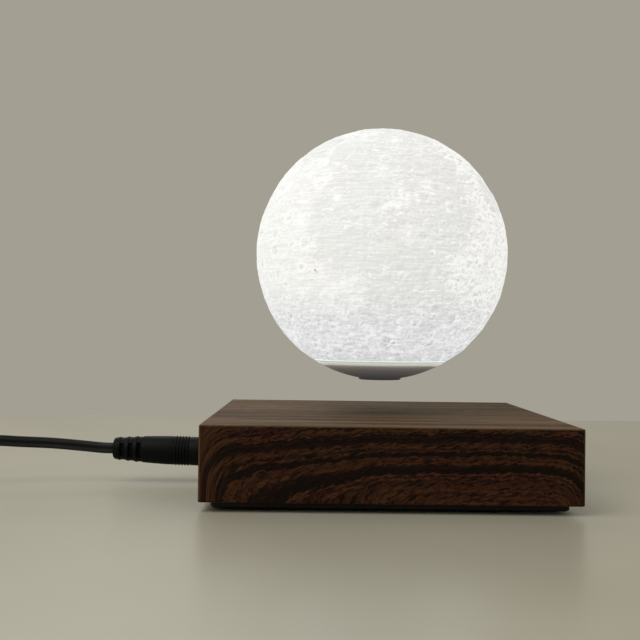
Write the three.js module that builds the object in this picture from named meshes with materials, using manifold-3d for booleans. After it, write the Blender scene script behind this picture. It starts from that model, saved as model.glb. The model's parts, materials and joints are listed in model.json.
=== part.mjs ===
// A levitating moon lamp: a wooden base with a magnetic drive inside, and a printed globe that floats
// over it and glows. Lengths are millimetres, +Z is up and the front faces -Y. The origin is the middle
// of the base's footprint.
import * as THREE from "three";
import { mergeVertices } from "three/addons/utils/BufferGeometryUtils.js";
import Module from "manifold-3d";

// Gaps that touching pieces keep, the overrun of every cut, and the distance under which points are one
const seatGap = 0.3;
const floorGap = 0.05;
const overrun = 1;
const weldGap = 1e-4;

// Wooden base
const baseSide = 130;
const baseHeight = 26;
const baseWall = 5;
const baseTopWall = 3;
const baseCorner = 0.3;
const baseEdge = 0.5;
const cornerBlock = 13;

// Bottom plate, feet and screws
const plateInset = 3.7;
const plateThickness = 2;
const plateCorner = 3;
const plateEdge = 0.4;
const footHeight = 1;
const footRadius = 6;
const footRecess = 0.6;
const footEdge = 0.3;
const footInset = 22;
const plateScrewInset = 11.5;
const plateScrewRadius = 1.4;
const plateScrewHeadRadius = 2.8;
const plateScrewHeadDepth = 1.3;
const plateScrewLength = 11;
const pilotGap = 0.3;

// Circuit board on its standoffs
const standoffHeight = 1.6;
const standoffRadius = 3.2;
const boardThickness = 1.6;
const boardGapLeft = 2;
const boardGapRight = 10;
const boardGapDepth = 2;
const boardCorner = 2;
const boardScrewInset = 5;
const boardScrewRadius = 1.1;
const boardScrewHeadRadius = 2.2;
const boardScrewHeadHeight = 1.4;
const boardScrewBite = 2.6;

// Power socket
const socketHeight = 11;
const socketWidth = 9;
const socketReach = 12.2;
const socketNoseRadius = 4;
const socketNoseInset = 0.4;
const socketBoreRadius = 3.15;
const socketBoreDepth = 10.5;
const socketPinRadius = 0.9;
const socketPinInset = 2;

// Magnets and coils of the drive, which fill the room between the socket and the middle
const ringMagnetGap = 1.5;
const ringMagnetWidth = 10;
const ringMagnetHeight = 10;
const ringMagnetEdge = 0.6;
const coilCircleShare = 0.583;
const bobbinShare = 0.292;
const bobbinHubWall = 1.7;
const bobbinBoreGap = 0.3;
const bobbinFlange = 1;
const bobbinHeight = 14;
const windingInset = 0.6;
const coreShare = 0.286;
const coreProud = 0.6;

// Hall sensors between the coils
const hallPostRadius = 3;
const hallPostHeight = 7.7;
const hallBoardSide = 12;
const hallBoardCorner = 1;
const hallBoardThickness = 1.2;
const hallSensorWidth = 4;
const hallSensorDepth = 1.6;
const hallSensorHeight = 3;
const hallSensorCircle = 3.6;

// Coil that sends the light's power, its leads, and the larger parts on the board
const senderInset = 2;
const senderWidth = 16;
const senderThickness = 1.2;
const leadWidth = 3;
const leadThickness = 0.8;
const leadGap = 1.2;
const leadOverlap = 8;
const driverWidth = 6.5;
const driverDepth = 6;
const driverHeight = 2.3;
const driverCorner = 0.5;
const capacitorRadius = 4;
const capacitorHeight = 11.5;
const capacitorEdge = 0.5;
const partCircleShare = 0.8;

// Floating globe
const floatGap = 13.1;
const moonRadius = 50.3;
const moonWall = 1.8;
const seamRadius = 27.2;
const reliefFade = 5;
const plainDepth = 0.9;
const craterDepth = 1.2;
const craterRim = 0.4;
const craterSmallest = 4.5;
const craterLargest = 11;

// Cap under the globe, and the lit ring over it
const padRadius = 8.4;
const capWall = 1.6;
const capRimWall = 1.8;
const capBossRadius = 11.5;
const capBossWall = 2;
const glowBand = 1.6;
const glowInner = 22;
const glowSpigot = 3;

// Magnet, receiving coil and lights in the globe
const floatMagnetRadius = 16;
const floatMagnetHeight = 5;
const floatMagnetEdge = 0.4;
const receiverBore = 16.8;
const receiverRadius = 21.3;
const receiverHeight = 3;
const retainerThickness = 1.2;
const retainerRadius = 21.6;
const retainerBore = 5;
const postCircle = 13;
const postRadius = 2.2;
const postHeight = 3;
const lightBoardRadius = 18;
const lightBoardThickness = 1.2;
const lightScrewRadius = 1;
const lightScrewHeadRadius = 2;
const lightScrewHeadHeight = 1.2;
const lightScrewBite = 2.4;
const lightSide = 5;
const lightCorner = 0.5;
const lightHeight = 1.6;
const lightCircle = 7.5;

// Power plug, measured from the face that meets the base
const plugGap = 0.4;
const plugLength = 41.3;
const plugTiltDegrees = 1.5;
const plugRadius = 5.7;
const plugWaist = 5.2;
const plugTail = 4.25;
const plugEdge = 0.7;
const gripStart = 10.5;
const gripPitch = 1.22;
const gripCount = 5;
const gripHeight = 0.35;
const gripShares = [0.2, 0.5, 0.6, 0.9];
const reliefStart = 30;
const reliefPitch = 3.4;
const reliefSlot = 1.6;
const reliefCount = 3;
const reliefCore = 2.9;
const reliefWindow = 6.4;
const reliefGroove = 0.45;
const barrelRadius = 2.75;
const barrelBore = 1.3;
const barrelLength = 9.5;
const barrelBite = 3;

// Two-core flat cord, 1.2 m in all, with its coil and the tie round it
const cordWidth = 4.4;
const cordThickness = 2.5;
const cordWaist = 1.7;
const coreSideShare = 0.5;
const cordLift = 0.85;
const coilX = -200;
const coilY = 5;
const coilOuter = 29.6;
const coilPitch = 3.4;
const coilTurns = 7;
const coilLayerGap = 0.55;
const climbTurns = 0.5;
const tieWidth = 6;
const tieThickness = 0.5;
const tieDegrees = 35;
const tieGap = 0.6;

// Wall adapter
const adapterX = -253;
const adapterY = 42;
const adapterWidth = 38;
const adapterLength = 58;
const adapterHeight = 27;
const adapterCorner = 6;
const adapterEdge = 2;
const adapterSeam = 0.6;
const adapterSeamDepth = 0.5;
const sleeveLength = 14;
const sleeveRadius = 4;
const sleeveTail = 3.1;
const sleeveRib = 0.5;
const sleeveRibs = 3;
const pinSpacing = 12.7;
const pinWidth = 6.3;
const pinThickness = 1.5;
const pinLength = 16;
const pinBite = 2;
const pinHole = 1.6;
const pinHoleInset = 4;
const pinNoseShare = 0.25;

// Facet counts
const roundSides = 36;
const hiddenSides = 24;
const plugSides = 20;
const smallSides = 16;
const screwSides = 10;
const globeColumns = 64;
const globeRows = 33;
const globeInnerRows = 6;
const stepsPerTurn = 24;

// Heights that stack up from the floor
const plateTop = footHeight + plateThickness;
const woodBottom = plateTop + seatGap;
const woodTop = woodBottom + baseHeight;
const boardBottom = plateTop + standoffHeight + seatGap;
const boardTop = boardBottom + boardThickness;
const deckZ = boardTop + seatGap;
const axisZ = deckZ + socketHeight / 2;
const half = baseSide / 2;
const innerHalf = half - baseWall;
const plateScrewTop = footHeight + floorGap + plateScrewLength;
const moonZ = woodTop + floatGap + moonRadius;
const seamZ = moonZ - Math.sqrt(moonRadius ** 2 - seamRadius ** 2);

// Places inside the base that follow its walls
const boardReachLeft = innerHalf - boardGapLeft;
const boardReachRight = innerHalf - boardGapRight;
const boardHalfDepth = innerHalf - cornerBlock - boardGapDepth;
const ringMagnetRadius = innerHalf - seatGap - socketReach - ringMagnetGap;
const ringMagnetBore = ringMagnetRadius - ringMagnetWidth;
const coilCircle = ringMagnetBore * coilCircleShare;
const bobbinRadius = ringMagnetBore * bobbinShare;
const coreRadius = bobbinRadius * coreShare;
const bobbinHubRadius = coreRadius + bobbinBoreGap + bobbinHubWall;
const partCircle = ringMagnetBore * partCircleShare;

const wasm = await Module();
wasm.setup();

const colours = {
  wood: 0x3a2719,
  black: 0x17181a,
  rubber: 0x0d0d0e,
  board: 0x14402a,
  steel: 0xb9bbbd,
  copper: 0xb4653a,
  ferrite: 0x2b2b2e,
  nickel: 0xa9abad,
  white: 0xf2f1ea,
  cap: 0x5d5352,
  glow: 0xe6fbf0,
};

function material(colour, roughness, metalness) {
  return new THREE.MeshStandardMaterial({ color: colour, roughness, metalness });
}

const finishes = {
  wood: material(colours.wood, 0.5, 0),
  black: material(colours.black, 0.45, 0),
  rubber: material(colours.rubber, 0.85, 0),
  board: material(colours.board, 0.5, 0),
  steel: material(colours.steel, 0.35, 1),
  copper: material(colours.copper, 0.4, 0.8),
  ferrite: material(colours.ferrite, 0.7, 0.2),
  nickel: material(colours.nickel, 0.25, 1),
  white: material(colours.white, 0.7, 0),
  cap: material(colours.cap, 0.4, 0),
  glow: material(colours.glow, 0.3, 0),
};

// Turn a closed mesh into a solid that can be joined and cut, and back.
function solidOf(geometry) {
  const bare = geometry.index ? geometry.toNonIndexed() : geometry.clone();
  bare.deleteAttribute("normal");
  bare.deleteAttribute("uv");
  const merged = mergeVertices(bare, weldGap);
  const index = merged.index.array;
  const corners = [];
  for (let i = 0; i < index.length; i += 3) {
    const [a, b, c] = [index[i], index[i + 1], index[i + 2]];
    if (a !== b && b !== c && a !== c) corners.push(a, b, c);
  }
  const mesh = new wasm.Mesh({
    numProp: 3,
    vertProperties: merged.attributes.position.array,
    triVerts: new Uint32Array(corners),
  });
  return new wasm.Manifold(mesh);
}

function geometryOf(solid) {
  const mesh = solid.getMesh();
  const geometry = new THREE.BufferGeometry();
  geometry.setAttribute("position", new THREE.BufferAttribute(mesh.vertProperties, 3));
  geometry.setIndex(new THREE.BufferAttribute(mesh.triVerts, 1));
  geometry.computeVertexNormals();
  return geometry;
}

function join(first, ...others) {
  return geometryOf(others.reduce((made, other) => made.add(solidOf(other)), solidOf(first)));
}

function cut(first, ...others) {
  return geometryOf(others.reduce((made, other) => made.subtract(solidOf(other)), solidOf(first)));
}

// A round piece about Z, from an outline of [radius, height] pairs up the outside and down the inside.
function turned(outline, sides = roundSides) {
  const points = outline.map(([radius, height]) => new THREE.Vector2(radius, height));
  return new THREE.LatheGeometry(points, sides).rotateX(Math.PI / 2);
}

// A solid disc, and a ring, with their edges broken when edge is over zero.
function disc(radius, low, high, sides = roundSides, edge = 0) {
  if (edge === 0) return turned([[0, low], [radius, low], [radius, high], [0, high]], sides);
  const outline = [
    [0, low],
    [radius - edge, low],
    [radius, low + edge],
    [radius, high - edge],
    [radius - edge, high],
    [0, high],
  ];
  return turned(outline, sides);
}

function ring(inner, outer, low, high, sides = roundSides, edge = 0) {
  const outside = [
    [outer - edge, low],
    [outer, low + edge],
    [outer, high - edge],
    [outer - edge, high],
  ];
  const inside = [
    [inner, high],
    [inner, low],
  ];
  const outline = edge === 0 ? [[outer, low], [outer, high], ...inside] : [...outside, ...inside];
  return turned([...outline, outline[0]], sides);
}

function roundedSquare(width, depth, corner) {
  const [x, y] = [width / 2, depth / 2];
  const shape = new THREE.Shape();
  shape.absarc(x - corner, y - corner, corner, 0, Math.PI / 2);
  shape.absarc(corner - x, y - corner, corner, Math.PI / 2, Math.PI);
  shape.absarc(corner - x, corner - y, corner, Math.PI, 1.5 * Math.PI);
  shape.absarc(x - corner, corner - y, corner, 1.5 * Math.PI, 2 * Math.PI);
  shape.closePath();
  return shape;
}

// A block with round upright corners and softened rims, standing from low to high.
function slab(width, depth, low, high, corner, edge, cornerSteps = 3, edgeSteps = 2) {
  const shape = roundedSquare(width - 2 * edge, depth - 2 * edge, corner - edge * (corner > edge));
  const options = {
    depth: high - low - 2 * edge,
    bevelEnabled: edge > 0,
    bevelThickness: edge,
    bevelSize: edge,
    bevelSegments: edgeSteps,
    curveSegments: cornerSteps,
  };
  return new THREE.ExtrudeGeometry(shape, options).translate(0, 0, low + edge);
}

function box(width, depth, height) {
  return new THREE.BoxGeometry(width, depth, height);
}

// Four places, one in each quarter of the base.
function quarters(x, y = x) {
  return [
    [-x, -y],
    [x, -y],
    [x, y],
    [-x, y],
  ];
}

function around(count, radius, turn = 0) {
  return Array.from({ length: count }, (_, i) => {
    const angle = turn + (i * 2 * Math.PI) / count;
    return [radius * Math.cos(angle), radius * Math.sin(angle)];
  });
}

function copies(geometry, places) {
  return places.map(([x, y]) => geometry.clone().translate(x, y, 0));
}

function named(name, geometry, finish, x = 0, y = 0, z = 0) {
  const mesh = new THREE.Mesh(geometry, finish);
  mesh.name = name;
  mesh.position.set(x, y, z);
  return mesh;
}

function group(...children) {
  const made = new THREE.Group();
  made.add(...children);
  return made;
}

// The wooden box: four walls and a top, open below, with a block for a screw in each corner.
function baseHousing() {
  const outer = slab(baseSide, baseSide, woodBottom, woodTop, baseCorner + baseEdge, baseEdge);
  const [far, near] = [innerHalf, innerHalf - cornerBlock];
  const corners = quarters(1).flatMap(([x, y], i) => {
    const [along, across] = [[x * near, y * far], [x * far, y * near]];
    const block = [x * near, y * near];
    return i % 2 ? [along, block, across] : [across, block, along];
  });
  const outline = new THREE.Shape(corners.map(([x, y]) => new THREE.Vector2(x, y)));
  const room = new THREE.ExtrudeGeometry(outline, {
    depth: baseHeight - baseTopWall + overrun,
    bevelEnabled: false,
  }).translate(0, 0, woodBottom - overrun);
  const [pilotLow, pilotHigh] = [woodBottom - overrun, plateScrewTop + seatGap];
  const pilot = disc(plateScrewRadius + pilotGap, pilotLow, pilotHigh, screwSides);
  const pilots = copies(pilot, quarters(half - plateScrewInset));
  const socketHole = disc(socketNoseRadius + seatGap, innerHalf - overrun, half + overrun, smallSides)
    .rotateY(-Math.PI / 2)
    .translate(0, 0, axisZ);
  return named("base_housing", cut(outer, room, ...pilots, socketHole), finishes.wood);
}

// The black plate, with seats for the feet, countersinks for its screws and standoffs for the board.
function bottomPlate() {
  const side = baseSide - 2 * plateInset;
  const plate = slab(side, side, footHeight, plateTop, plateCorner, plateEdge, 2, 1);
  const standoffTop = plateTop + standoffHeight;
  const standoff = disc(standoffRadius, plateTop - plateThickness / 2, standoffTop, screwSides);
  const biteLow = standoffTop - boardScrewBite - seatGap;
  const bite = disc(boardScrewRadius + pilotGap, biteLow, standoffTop + overrun, screwSides);
  const seat = disc(footRadius + seatGap, footHeight - overrun, footHeight + footRecess, smallSides);
  const [head, shank] = [plateScrewHeadRadius + seatGap, plateScrewRadius + seatGap];
  const mouth = footHeight + plateScrewHeadDepth;
  const sink = [
    [0, footHeight - overrun],
    [head, footHeight - overrun],
    [head, footHeight + seatGap],
    [shank, mouth + seatGap],
    [shank, plateTop + overrun],
    [0, plateTop + overrun],
  ];
  const cuts = [
    ...copies(bite, boardScrewPlaces),
    ...copies(seat, quarters(half - footInset)),
    ...copies(turned(sink, screwSides), quarters(half - plateScrewInset)),
  ];
  const raised = join(plate, ...copies(standoff, boardScrewPlaces));
  return named("bottom_plate", cut(raised, ...cuts), finishes.black);
}

function feet() {
  const top = footHeight + footRecess - seatGap;
  return quarters(half - footInset).map(([x, y], i) =>
    named("foot_" + (i + 1), disc(footRadius, 0, top, smallSides, footEdge), finishes.rubber, x, y),
  );
}

function plateScrews() {
  const head = footHeight + floorGap;
  const outline = [
    [0, head],
    [plateScrewHeadRadius, head],
    [plateScrewHeadRadius, head + floorGap],
    [plateScrewRadius, head + plateScrewHeadDepth],
    [plateScrewRadius, plateScrewTop - plateScrewRadius],
    [0, plateScrewTop],
  ];
  return quarters(half - plateScrewInset).map(([x, y], i) =>
    named("plate_screw_" + (i + 1), turned(outline, screwSides), finishes.steel, x, y),
  );
}

// The circuit board reaches further to the left, where the power socket stands on it.
const boardScrewLeft = boardScrewInset - boardReachLeft;
const boardScrewRight = boardReachRight - boardScrewInset;
const boardScrewDepth = boardHalfDepth - boardScrewInset;
const boardScrewPlaces = [
  [boardScrewLeft, -boardScrewDepth],
  [boardScrewRight, -boardScrewDepth],
  [boardScrewRight, boardScrewDepth],
  [boardScrewLeft, boardScrewDepth],
];

function mainBoard() {
  const width = boardReachLeft + boardReachRight;
  const middle = (boardReachRight - boardReachLeft) / 2;
  const plate = slab(width, 2 * boardHalfDepth, boardBottom, boardTop, boardCorner, 0);
  plate.translate(middle, 0, 0);
  const hole = disc(boardScrewRadius + seatGap, boardBottom - overrun, boardTop + overrun, screwSides);
  return named("main_board", cut(plate, ...copies(hole, boardScrewPlaces)), finishes.board);
}

function boardScrews() {
  const tip = plateTop + standoffHeight - boardScrewBite;
  const outline = [
    [0, tip],
    [boardScrewRadius, tip],
    [boardScrewRadius, deckZ],
    [boardScrewHeadRadius, deckZ],
    [boardScrewHeadRadius, deckZ + boardScrewHeadHeight],
    [0, deckZ + boardScrewHeadHeight],
  ];
  return boardScrewPlaces.map(([x, y], i) =>
    named("board_screw_" + (i + 1), turned(outline, screwSides), finishes.steel, x, y),
  );
}

// The power socket: a moulded block behind the wall, with a round nose in the wall's hole and a bore.
function powerSocket() {
  const blockFace = innerHalf - seatGap;
  const noseFace = half - socketNoseInset;
  const block = box(socketReach, socketWidth, socketHeight);
  block.translate(socketReach / 2 - blockFace, 0, axisZ);
  const nose = disc(socketNoseRadius, blockFace - overrun, noseFace, smallSides);
  const bore = disc(socketBoreRadius, noseFace - socketBoreDepth, noseFace + overrun, smallSides);
  const [pinLow, pinHigh] = [noseFace - socketBoreDepth + seatGap, noseFace - socketPinInset];
  const pin = disc(socketPinRadius, pinLow, pinHigh, screwSides);
  const [noseSide, boreSide, pinSide] = [nose, bore, pin].map((one) =>
    one.rotateY(-Math.PI / 2).translate(0, 0, axisZ),
  );
  return group(
    named("power_socket", cut(join(block, noseSide), boreSide), finishes.black),
    named("socket_pin", pinSide, finishes.nickel),
  );
}

// The drive: a ring magnet that carries the globe's weight, and four coils that steer it.
function drive() {
  const [low, high] = [deckZ, deckZ + bobbinHeight];
  const bobbin = turned(
    [
      [bobbinRadius, low],
      [bobbinRadius, low + bobbinFlange],
      [bobbinHubRadius, low + bobbinFlange],
      [bobbinHubRadius, high - bobbinFlange],
      [bobbinRadius, high - bobbinFlange],
      [bobbinRadius, high],
      [coreRadius + bobbinBoreGap, high],
      [coreRadius + bobbinBoreGap, low],
      [bobbinRadius, low],
    ],
    smallSides,
  );
  const wound = [bobbinHubRadius + seatGap, bobbinRadius - windingInset];
  const [woundLow, woundHigh] = [low + bobbinFlange + seatGap, high - bobbinFlange - seatGap];
  const winding = ring(...wound, woundLow, woundHigh, smallSides);
  const core = disc(coreRadius, low, high + coreProud, screwSides);
  const pieces = around(4, coilCircle).flatMap(([x, y], i) => [
    named("coil_bobbin_" + (i + 1), bobbin, finishes.white, x, y),
    named("coil_winding_" + (i + 1), winding, finishes.copper, x, y),
    named("coil_core_" + (i + 1), core, finishes.steel, x, y),
  ]);
  const magnetTop = deckZ + ringMagnetHeight;
  const magnet = ring(ringMagnetBore, ringMagnetRadius, deckZ, magnetTop, hiddenSides, ringMagnetEdge);
  return group(named("ring_magnet", magnet, finishes.ferrite), ...pieces);
}

// Three magnetic field sensors on a small board, held on a post among the coils.
function hallSensors() {
  const postTop = deckZ + hallPostHeight;
  const low = postTop + seatGap;
  const high = low + hallBoardThickness;
  const plate = slab(hallBoardSide, hallBoardSide, low, high, hallBoardCorner, 0);
  const chips = around(3, hallSensorCircle).map(([x, y]) =>
    box(hallSensorWidth, hallSensorDepth, hallSensorHeight)
      .rotateZ(Math.atan2(y, x) + Math.PI / 2)
      .translate(x, y, high + hallSensorHeight / 2 - floorGap),
  );
  return group(
    named("hall_post", disc(hallPostRadius, deckZ, postTop, smallSides), finishes.white),
    named("hall_board", join(plate, ...chips), finishes.board),
  );
}

// The flat coil under the top that feeds the light without wires, with its leads down to the board.
function powerSender() {
  const top = woodTop - baseTopWall - seatGap;
  const senderRadius = ringMagnetRadius - senderInset;
  const coil = ring(senderRadius - senderWidth, senderRadius, top - senderThickness, top, hiddenSides);
  const leadReach = ringMagnetRadius + leadGap + leadThickness;
  const bend = top - senderThickness - seatGap;
  const outline = new THREE.Shape();
  outline.moveTo(leadReach, deckZ);
  outline.lineTo(leadReach, bend);
  outline.lineTo(leadReach - leadOverlap, bend);
  outline.lineTo(leadReach - leadOverlap, bend - leadThickness);
  outline.lineTo(leadReach - leadThickness, bend - leadThickness);
  outline.lineTo(leadReach - leadThickness, deckZ);
  outline.closePath();
  const leads = new THREE.ExtrudeGeometry(outline, { depth: leadWidth, bevelEnabled: false })
    .rotateX(Math.PI / 2)
    .translate(0, leadWidth / 2, 0);
  return group(
    named("sender_coil", coil, finishes.copper),
    named("sender_leads", leads, finishes.black),
  );
}

function boardParts() {
  const driver = slab(driverWidth, driverDepth, deckZ, deckZ + driverHeight, driverCorner, 0, 1);
  const capacitor = disc(capacitorRadius, deckZ, deckZ + capacitorHeight, smallSides, capacitorEdge);
  const [first, second, third] = around(4, partCircle, Math.PI / 4);
  return group(
    named("driver_chip_1", driver, finishes.black, ...first),
    named("driver_chip_2", driver, finishes.black, ...third),
    named("capacitor", capacitor, finishes.nickel, ...second),
  );
}

// The globe's relief is the sum of broad low plains and round craters. Directions are
// [longitude, latitude] in degrees, with longitude 0 facing the front and growing to the right.
// The reach is the plain's radius as a share of the globe's.
const plainShares = [
  [-19, 14, 0.34],
  [-9, 39, 0.36],
  [21, 38, 0.33],
  [25, 13, 0.3],
  [6, -6, 0.4],
  [-18, -2, 0.27],
  [26, -28, 0.17],
  [-1, -27, 0.18],
  [64, 24, 0.22],
  [-34, -6, 0.06],
  [140, 20, 0.3],
  [-150, -30, 0.34],
  [100, -35, 0.2],
  [-95, 30, 0.24],
];
const plainEdgeShares = [0.75, 1.15];
const craterCount = 60;
const craterRimShare = 0.25;
const unevenStepShare = 0.326;

function towards(longitude, latitude) {
  const [u, v] = [THREE.MathUtils.degToRad(longitude), THREE.MathUtils.degToRad(latitude)];
  return new THREE.Vector3(Math.sin(u) * Math.cos(v), -Math.cos(u) * Math.cos(v), Math.sin(v));
}

// Craters lie on a golden spiral, with sizes that follow a repeating uneven sequence.
function craterList() {
  const golden = Math.PI * (3 - Math.sqrt(5));
  return Array.from({ length: craterCount }, (_, i) => {
    const height = 1 - (2 * i + 1) / craterCount;
    const width = Math.sqrt(1 - height ** 2);
    const uneven = (i * unevenStepShare) % 1;
    const size = craterSmallest + (craterLargest - craterSmallest) * uneven ** 3;
    const at = new THREE.Vector3(width * Math.cos(i * golden), width * Math.sin(i * golden), height);
    return { at, size };
  });
}

const craters = craterList();
const plains = plainShares.map(([longitude, latitude, reach]) => {
  return { at: towards(longitude, latitude), reach };
});

function reliefAt(direction) {
  let plain = 0;
  for (const { at, reach } of plains) {
    const away = direction.distanceTo(at) / reach;
    plain = Math.max(plain, 1 - THREE.MathUtils.smoothstep(away, ...plainEdgeShares));
  }
  let relief = -plainDepth * plain;
  for (const { at, size } of craters) {
    const away = (direction.distanceTo(at) * moonRadius) / size;
    const share = size / craterLargest;
    if (away < 1) relief -= craterDepth * share * (1 - away ** 2);
    relief += craterRim * share * Math.exp(-(((away - 1) / craterRimShare) ** 2));
  }
  return relief;
}

// The printed shell, open below at the seam, with the relief on its outside only.
function moonShell() {
  const innerRadius = moonRadius - moonWall;
  const drop = moonZ - seamZ;
  const [outerStart, innerStart] = [Math.acos(drop / moonRadius), Math.acos(drop / innerRadius)];
  const outline = [];
  for (let i = 0; i <= globeInnerRows; i++) {
    const angle = Math.PI + ((innerStart - Math.PI) * i) / globeInnerRows;
    outline.push([innerRadius * Math.sin(angle), -innerRadius * Math.cos(angle)]);
  }
  for (let i = 0; i <= globeRows; i++) {
    const angle = outerStart + ((Math.PI - outerStart) * i) / globeRows;
    outline.push([moonRadius * Math.sin(angle), -moonRadius * Math.cos(angle)]);
  }
  outline[0][0] = 0;
  outline[outline.length - 1][0] = 0;
  const geometry = turned(outline, globeColumns);
  const position = geometry.attributes.position;
  const point = new THREE.Vector3();
  for (let i = 0; i < position.count; i++) {
    point.fromBufferAttribute(position, i);
    const radius = point.length();
    if (radius < moonRadius - moonWall / 2) continue;
    const fade = THREE.MathUtils.smoothstep(point.z + drop, 0, reliefFade);
    const direction = point.clone().normalize();
    point.setLength(radius + fade * reliefAt(direction));
    position.setXYZ(i, point.x, point.y, point.z);
  }
  return named("moon_shell", geometryOf(solidOf(geometry)), finishes.white, 0, 0, moonZ);
}

function onSphere(radius, distance) {
  return moonZ - Math.sqrt(radius ** 2 - distance ** 2);
}

function radiusAt(height) {
  return Math.sqrt(moonRadius ** 2 - (moonZ - height) ** 2);
}

// The smooth cap closes the globe below, a shallow dish with a flat pad and a boss under the magnet.
const glowTop = seamZ - seatGap;
const glowLow = glowTop - glowBand;
const capTop = glowLow - seatGap;
const capInnerRadius = moonRadius - capWall;
const magnetLow = onSphere(capInnerRadius, floatMagnetRadius) + seatGap;

function moonCap() {
  const rim = radiusAt(capTop);
  const outerSteps = 6;
  const outline = [[0, moonZ - moonRadius], [padRadius, moonZ - moonRadius]];
  for (let i = 0; i <= outerSteps; i++) {
    const radius = padRadius + ((rim - padRadius) * i) / outerSteps;
    outline.push([radius, onSphere(moonRadius, radius)]);
  }
  const inside = rim - capRimWall;
  const innerSteps = 3;
  for (let i = 0; i <= innerSteps; i++) {
    const radius = inside + ((capBossRadius - inside) * i) / innerSteps;
    outline.push([radius, i === 0 ? capTop : onSphere(capInnerRadius, radius)]);
  }
  const bossInside = capBossRadius - capBossWall;
  outline.push([capBossRadius, magnetLow - seatGap], [bossInside, magnetLow - seatGap]);
  outline.push([bossInside, onSphere(capInnerRadius, bossInside)], [0, onSphere(capInnerRadius, 0)]);
  return named("moon_cap", turned(outline), finishes.cap);
}

// The clear ring between cap and shell: a bright line outside, and a spigot that centres the shell.
function glowRing() {
  const shellBore = Math.sqrt((moonRadius - moonWall) ** 2 - (moonZ - seamZ) ** 2);
  const spigotRadius = shellBore - seatGap;
  const outline = [
    [glowInner, glowLow],
    [radiusAt(glowLow), glowLow],
    [radiusAt(glowTop), glowTop],
    [spigotRadius, glowTop],
    [spigotRadius, glowTop + glowSpigot],
    [glowInner, glowTop + glowSpigot],
    [glowInner, glowLow],
  ];
  return named("glow_ring", turned(outline), finishes.glow);
}

function floatMagnet() {
  const high = magnetLow + floatMagnetHeight;
  const disk = disc(floatMagnetRadius, magnetLow, high, hiddenSides, floatMagnetEdge);
  return named("float_magnet", disk, finishes.nickel);
}

// The receiving coil lies round the magnet. A retainer over both holds the light board on three posts.
function moonLight() {
  const receiverLow = onSphere(capInnerRadius, receiverRadius) + seatGap;
  const receiverHigh = receiverLow + receiverHeight;
  const receiver = ring(receiverBore, receiverRadius, receiverLow, receiverHigh, hiddenSides);
  const low = Math.max(receiverLow + receiverHeight, magnetLow + floatMagnetHeight) + seatGap;
  const deck = low + retainerThickness;
  const postTop = deck + postHeight;
  const places = around(3, postCircle);
  const post = disc(postRadius, deck - retainerThickness / 2, postTop, screwSides);
  const biteLow = postTop - lightScrewBite - seatGap;
  const bite = disc(lightScrewRadius + pilotGap, biteLow, postTop + overrun, screwSides);
  const plate = ring(retainerBore, retainerRadius, low, deck, hiddenSides);
  const retainer = cut(join(plate, ...copies(post, places)), ...copies(bite, places));
  const boardLow = postTop + seatGap;
  const boardHigh = boardLow + lightBoardThickness;
  const hole = disc(lightScrewRadius + seatGap, boardLow - overrun, boardHigh + overrun, screwSides);
  const board = cut(disc(lightBoardRadius, boardLow, boardHigh, hiddenSides), ...copies(hole, places));
  const face = boardHigh + seatGap;
  const screw = turned(
    [
      [0, postTop - lightScrewBite],
      [lightScrewRadius, postTop - lightScrewBite],
      [lightScrewRadius, face],
      [lightScrewHeadRadius, face],
      [lightScrewHeadRadius, face + lightScrewHeadHeight],
      [0, face + lightScrewHeadHeight],
    ],
    screwSides,
  );
  const light = slab(lightSide, lightSide, face, face + lightHeight, lightCorner, 0, 1);
  const lights = around(4, lightCircle, Math.PI / 4);
  return group(
    named("receiver_coil", receiver, finishes.copper),
    named("magnet_retainer", retainer, finishes.white),
    named("light_board", board, finishes.board),
    ...places.map(([x, y], i) => named("light_screw_" + (i + 1), screw, finishes.steel, x, y)),
    ...lights.map(([x, y], i) => named("light_" + (i + 1), light, finishes.white, x, y)),
  );
}

// The moulded plug. Its outline runs from the face at the base to the tail, with grip rings halfway.
function plugBody() {
  const pocket = barrelRadius + seatGap;
  const outline = [
    [0, barrelBite + seatGap],
    [pocket, barrelBite + seatGap],
    [pocket, 0],
    [plugRadius - plugEdge, 0],
    [plugRadius, plugEdge],
    [plugRadius, gripStart],
  ];
  for (let i = 0; i < gripCount; i++) {
    gripShares.forEach((share, k) => {
      const proud = k < gripShares.length / 2 ? -gripHeight / 2 : gripHeight / 2;
      outline.push([plugRadius + proud, gripStart + (i + share) * gripPitch]);
    });
  }
  outline.push([plugRadius, gripStart + gripCount * gripPitch + plugEdge]);
  const slots = [];
  for (let i = 0; i < reliefCount; i++) {
    const start = reliefStart + i * reliefPitch;
    const radius = plugWaist + ((plugTail - plugWaist) * (i * reliefPitch)) / (plugLength - reliefStart);
    outline.push([radius, start], [radius - reliefGroove, start + reliefGroove]);
    outline.push([radius - reliefGroove, start + reliefSlot - reliefGroove], [radius, start + reliefSlot]);
    for (const side of [-1, 1]) {
      const slot = box(reliefWindow, plugRadius, reliefSlot);
      slots.push(slot.translate(0, side * (reliefCore + plugRadius / 2), start + reliefSlot / 2));
    }
  }
  outline.push([plugTail, plugLength - plugEdge], [plugTail - plugEdge, plugLength], [0, plugLength]);
  const body = cut(turned(outline, plugSides), ...slots).rotateY(-Math.PI / 2);
  return named("plug_body", body, finishes.black);
}

function plugBarrel() {
  const sleeve = ring(barrelBore, barrelRadius, -barrelLength, barrelBite, smallSides);
  return named("plug_barrel", sleeve.rotateY(-Math.PI / 2), finishes.nickel);
}

// The plug tips up a little about the socket's mouth, by the play that it has there.
const tilt = THREE.MathUtils.degToRad(plugTiltDegrees);

function plug() {
  const made = group(plugBody(), plugBarrel());
  made.position.set(-plugGap * Math.cos(tilt) - half, 0, axisZ + plugGap * Math.sin(tilt));
  made.rotation.y = tilt;
  return made;
}

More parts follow.
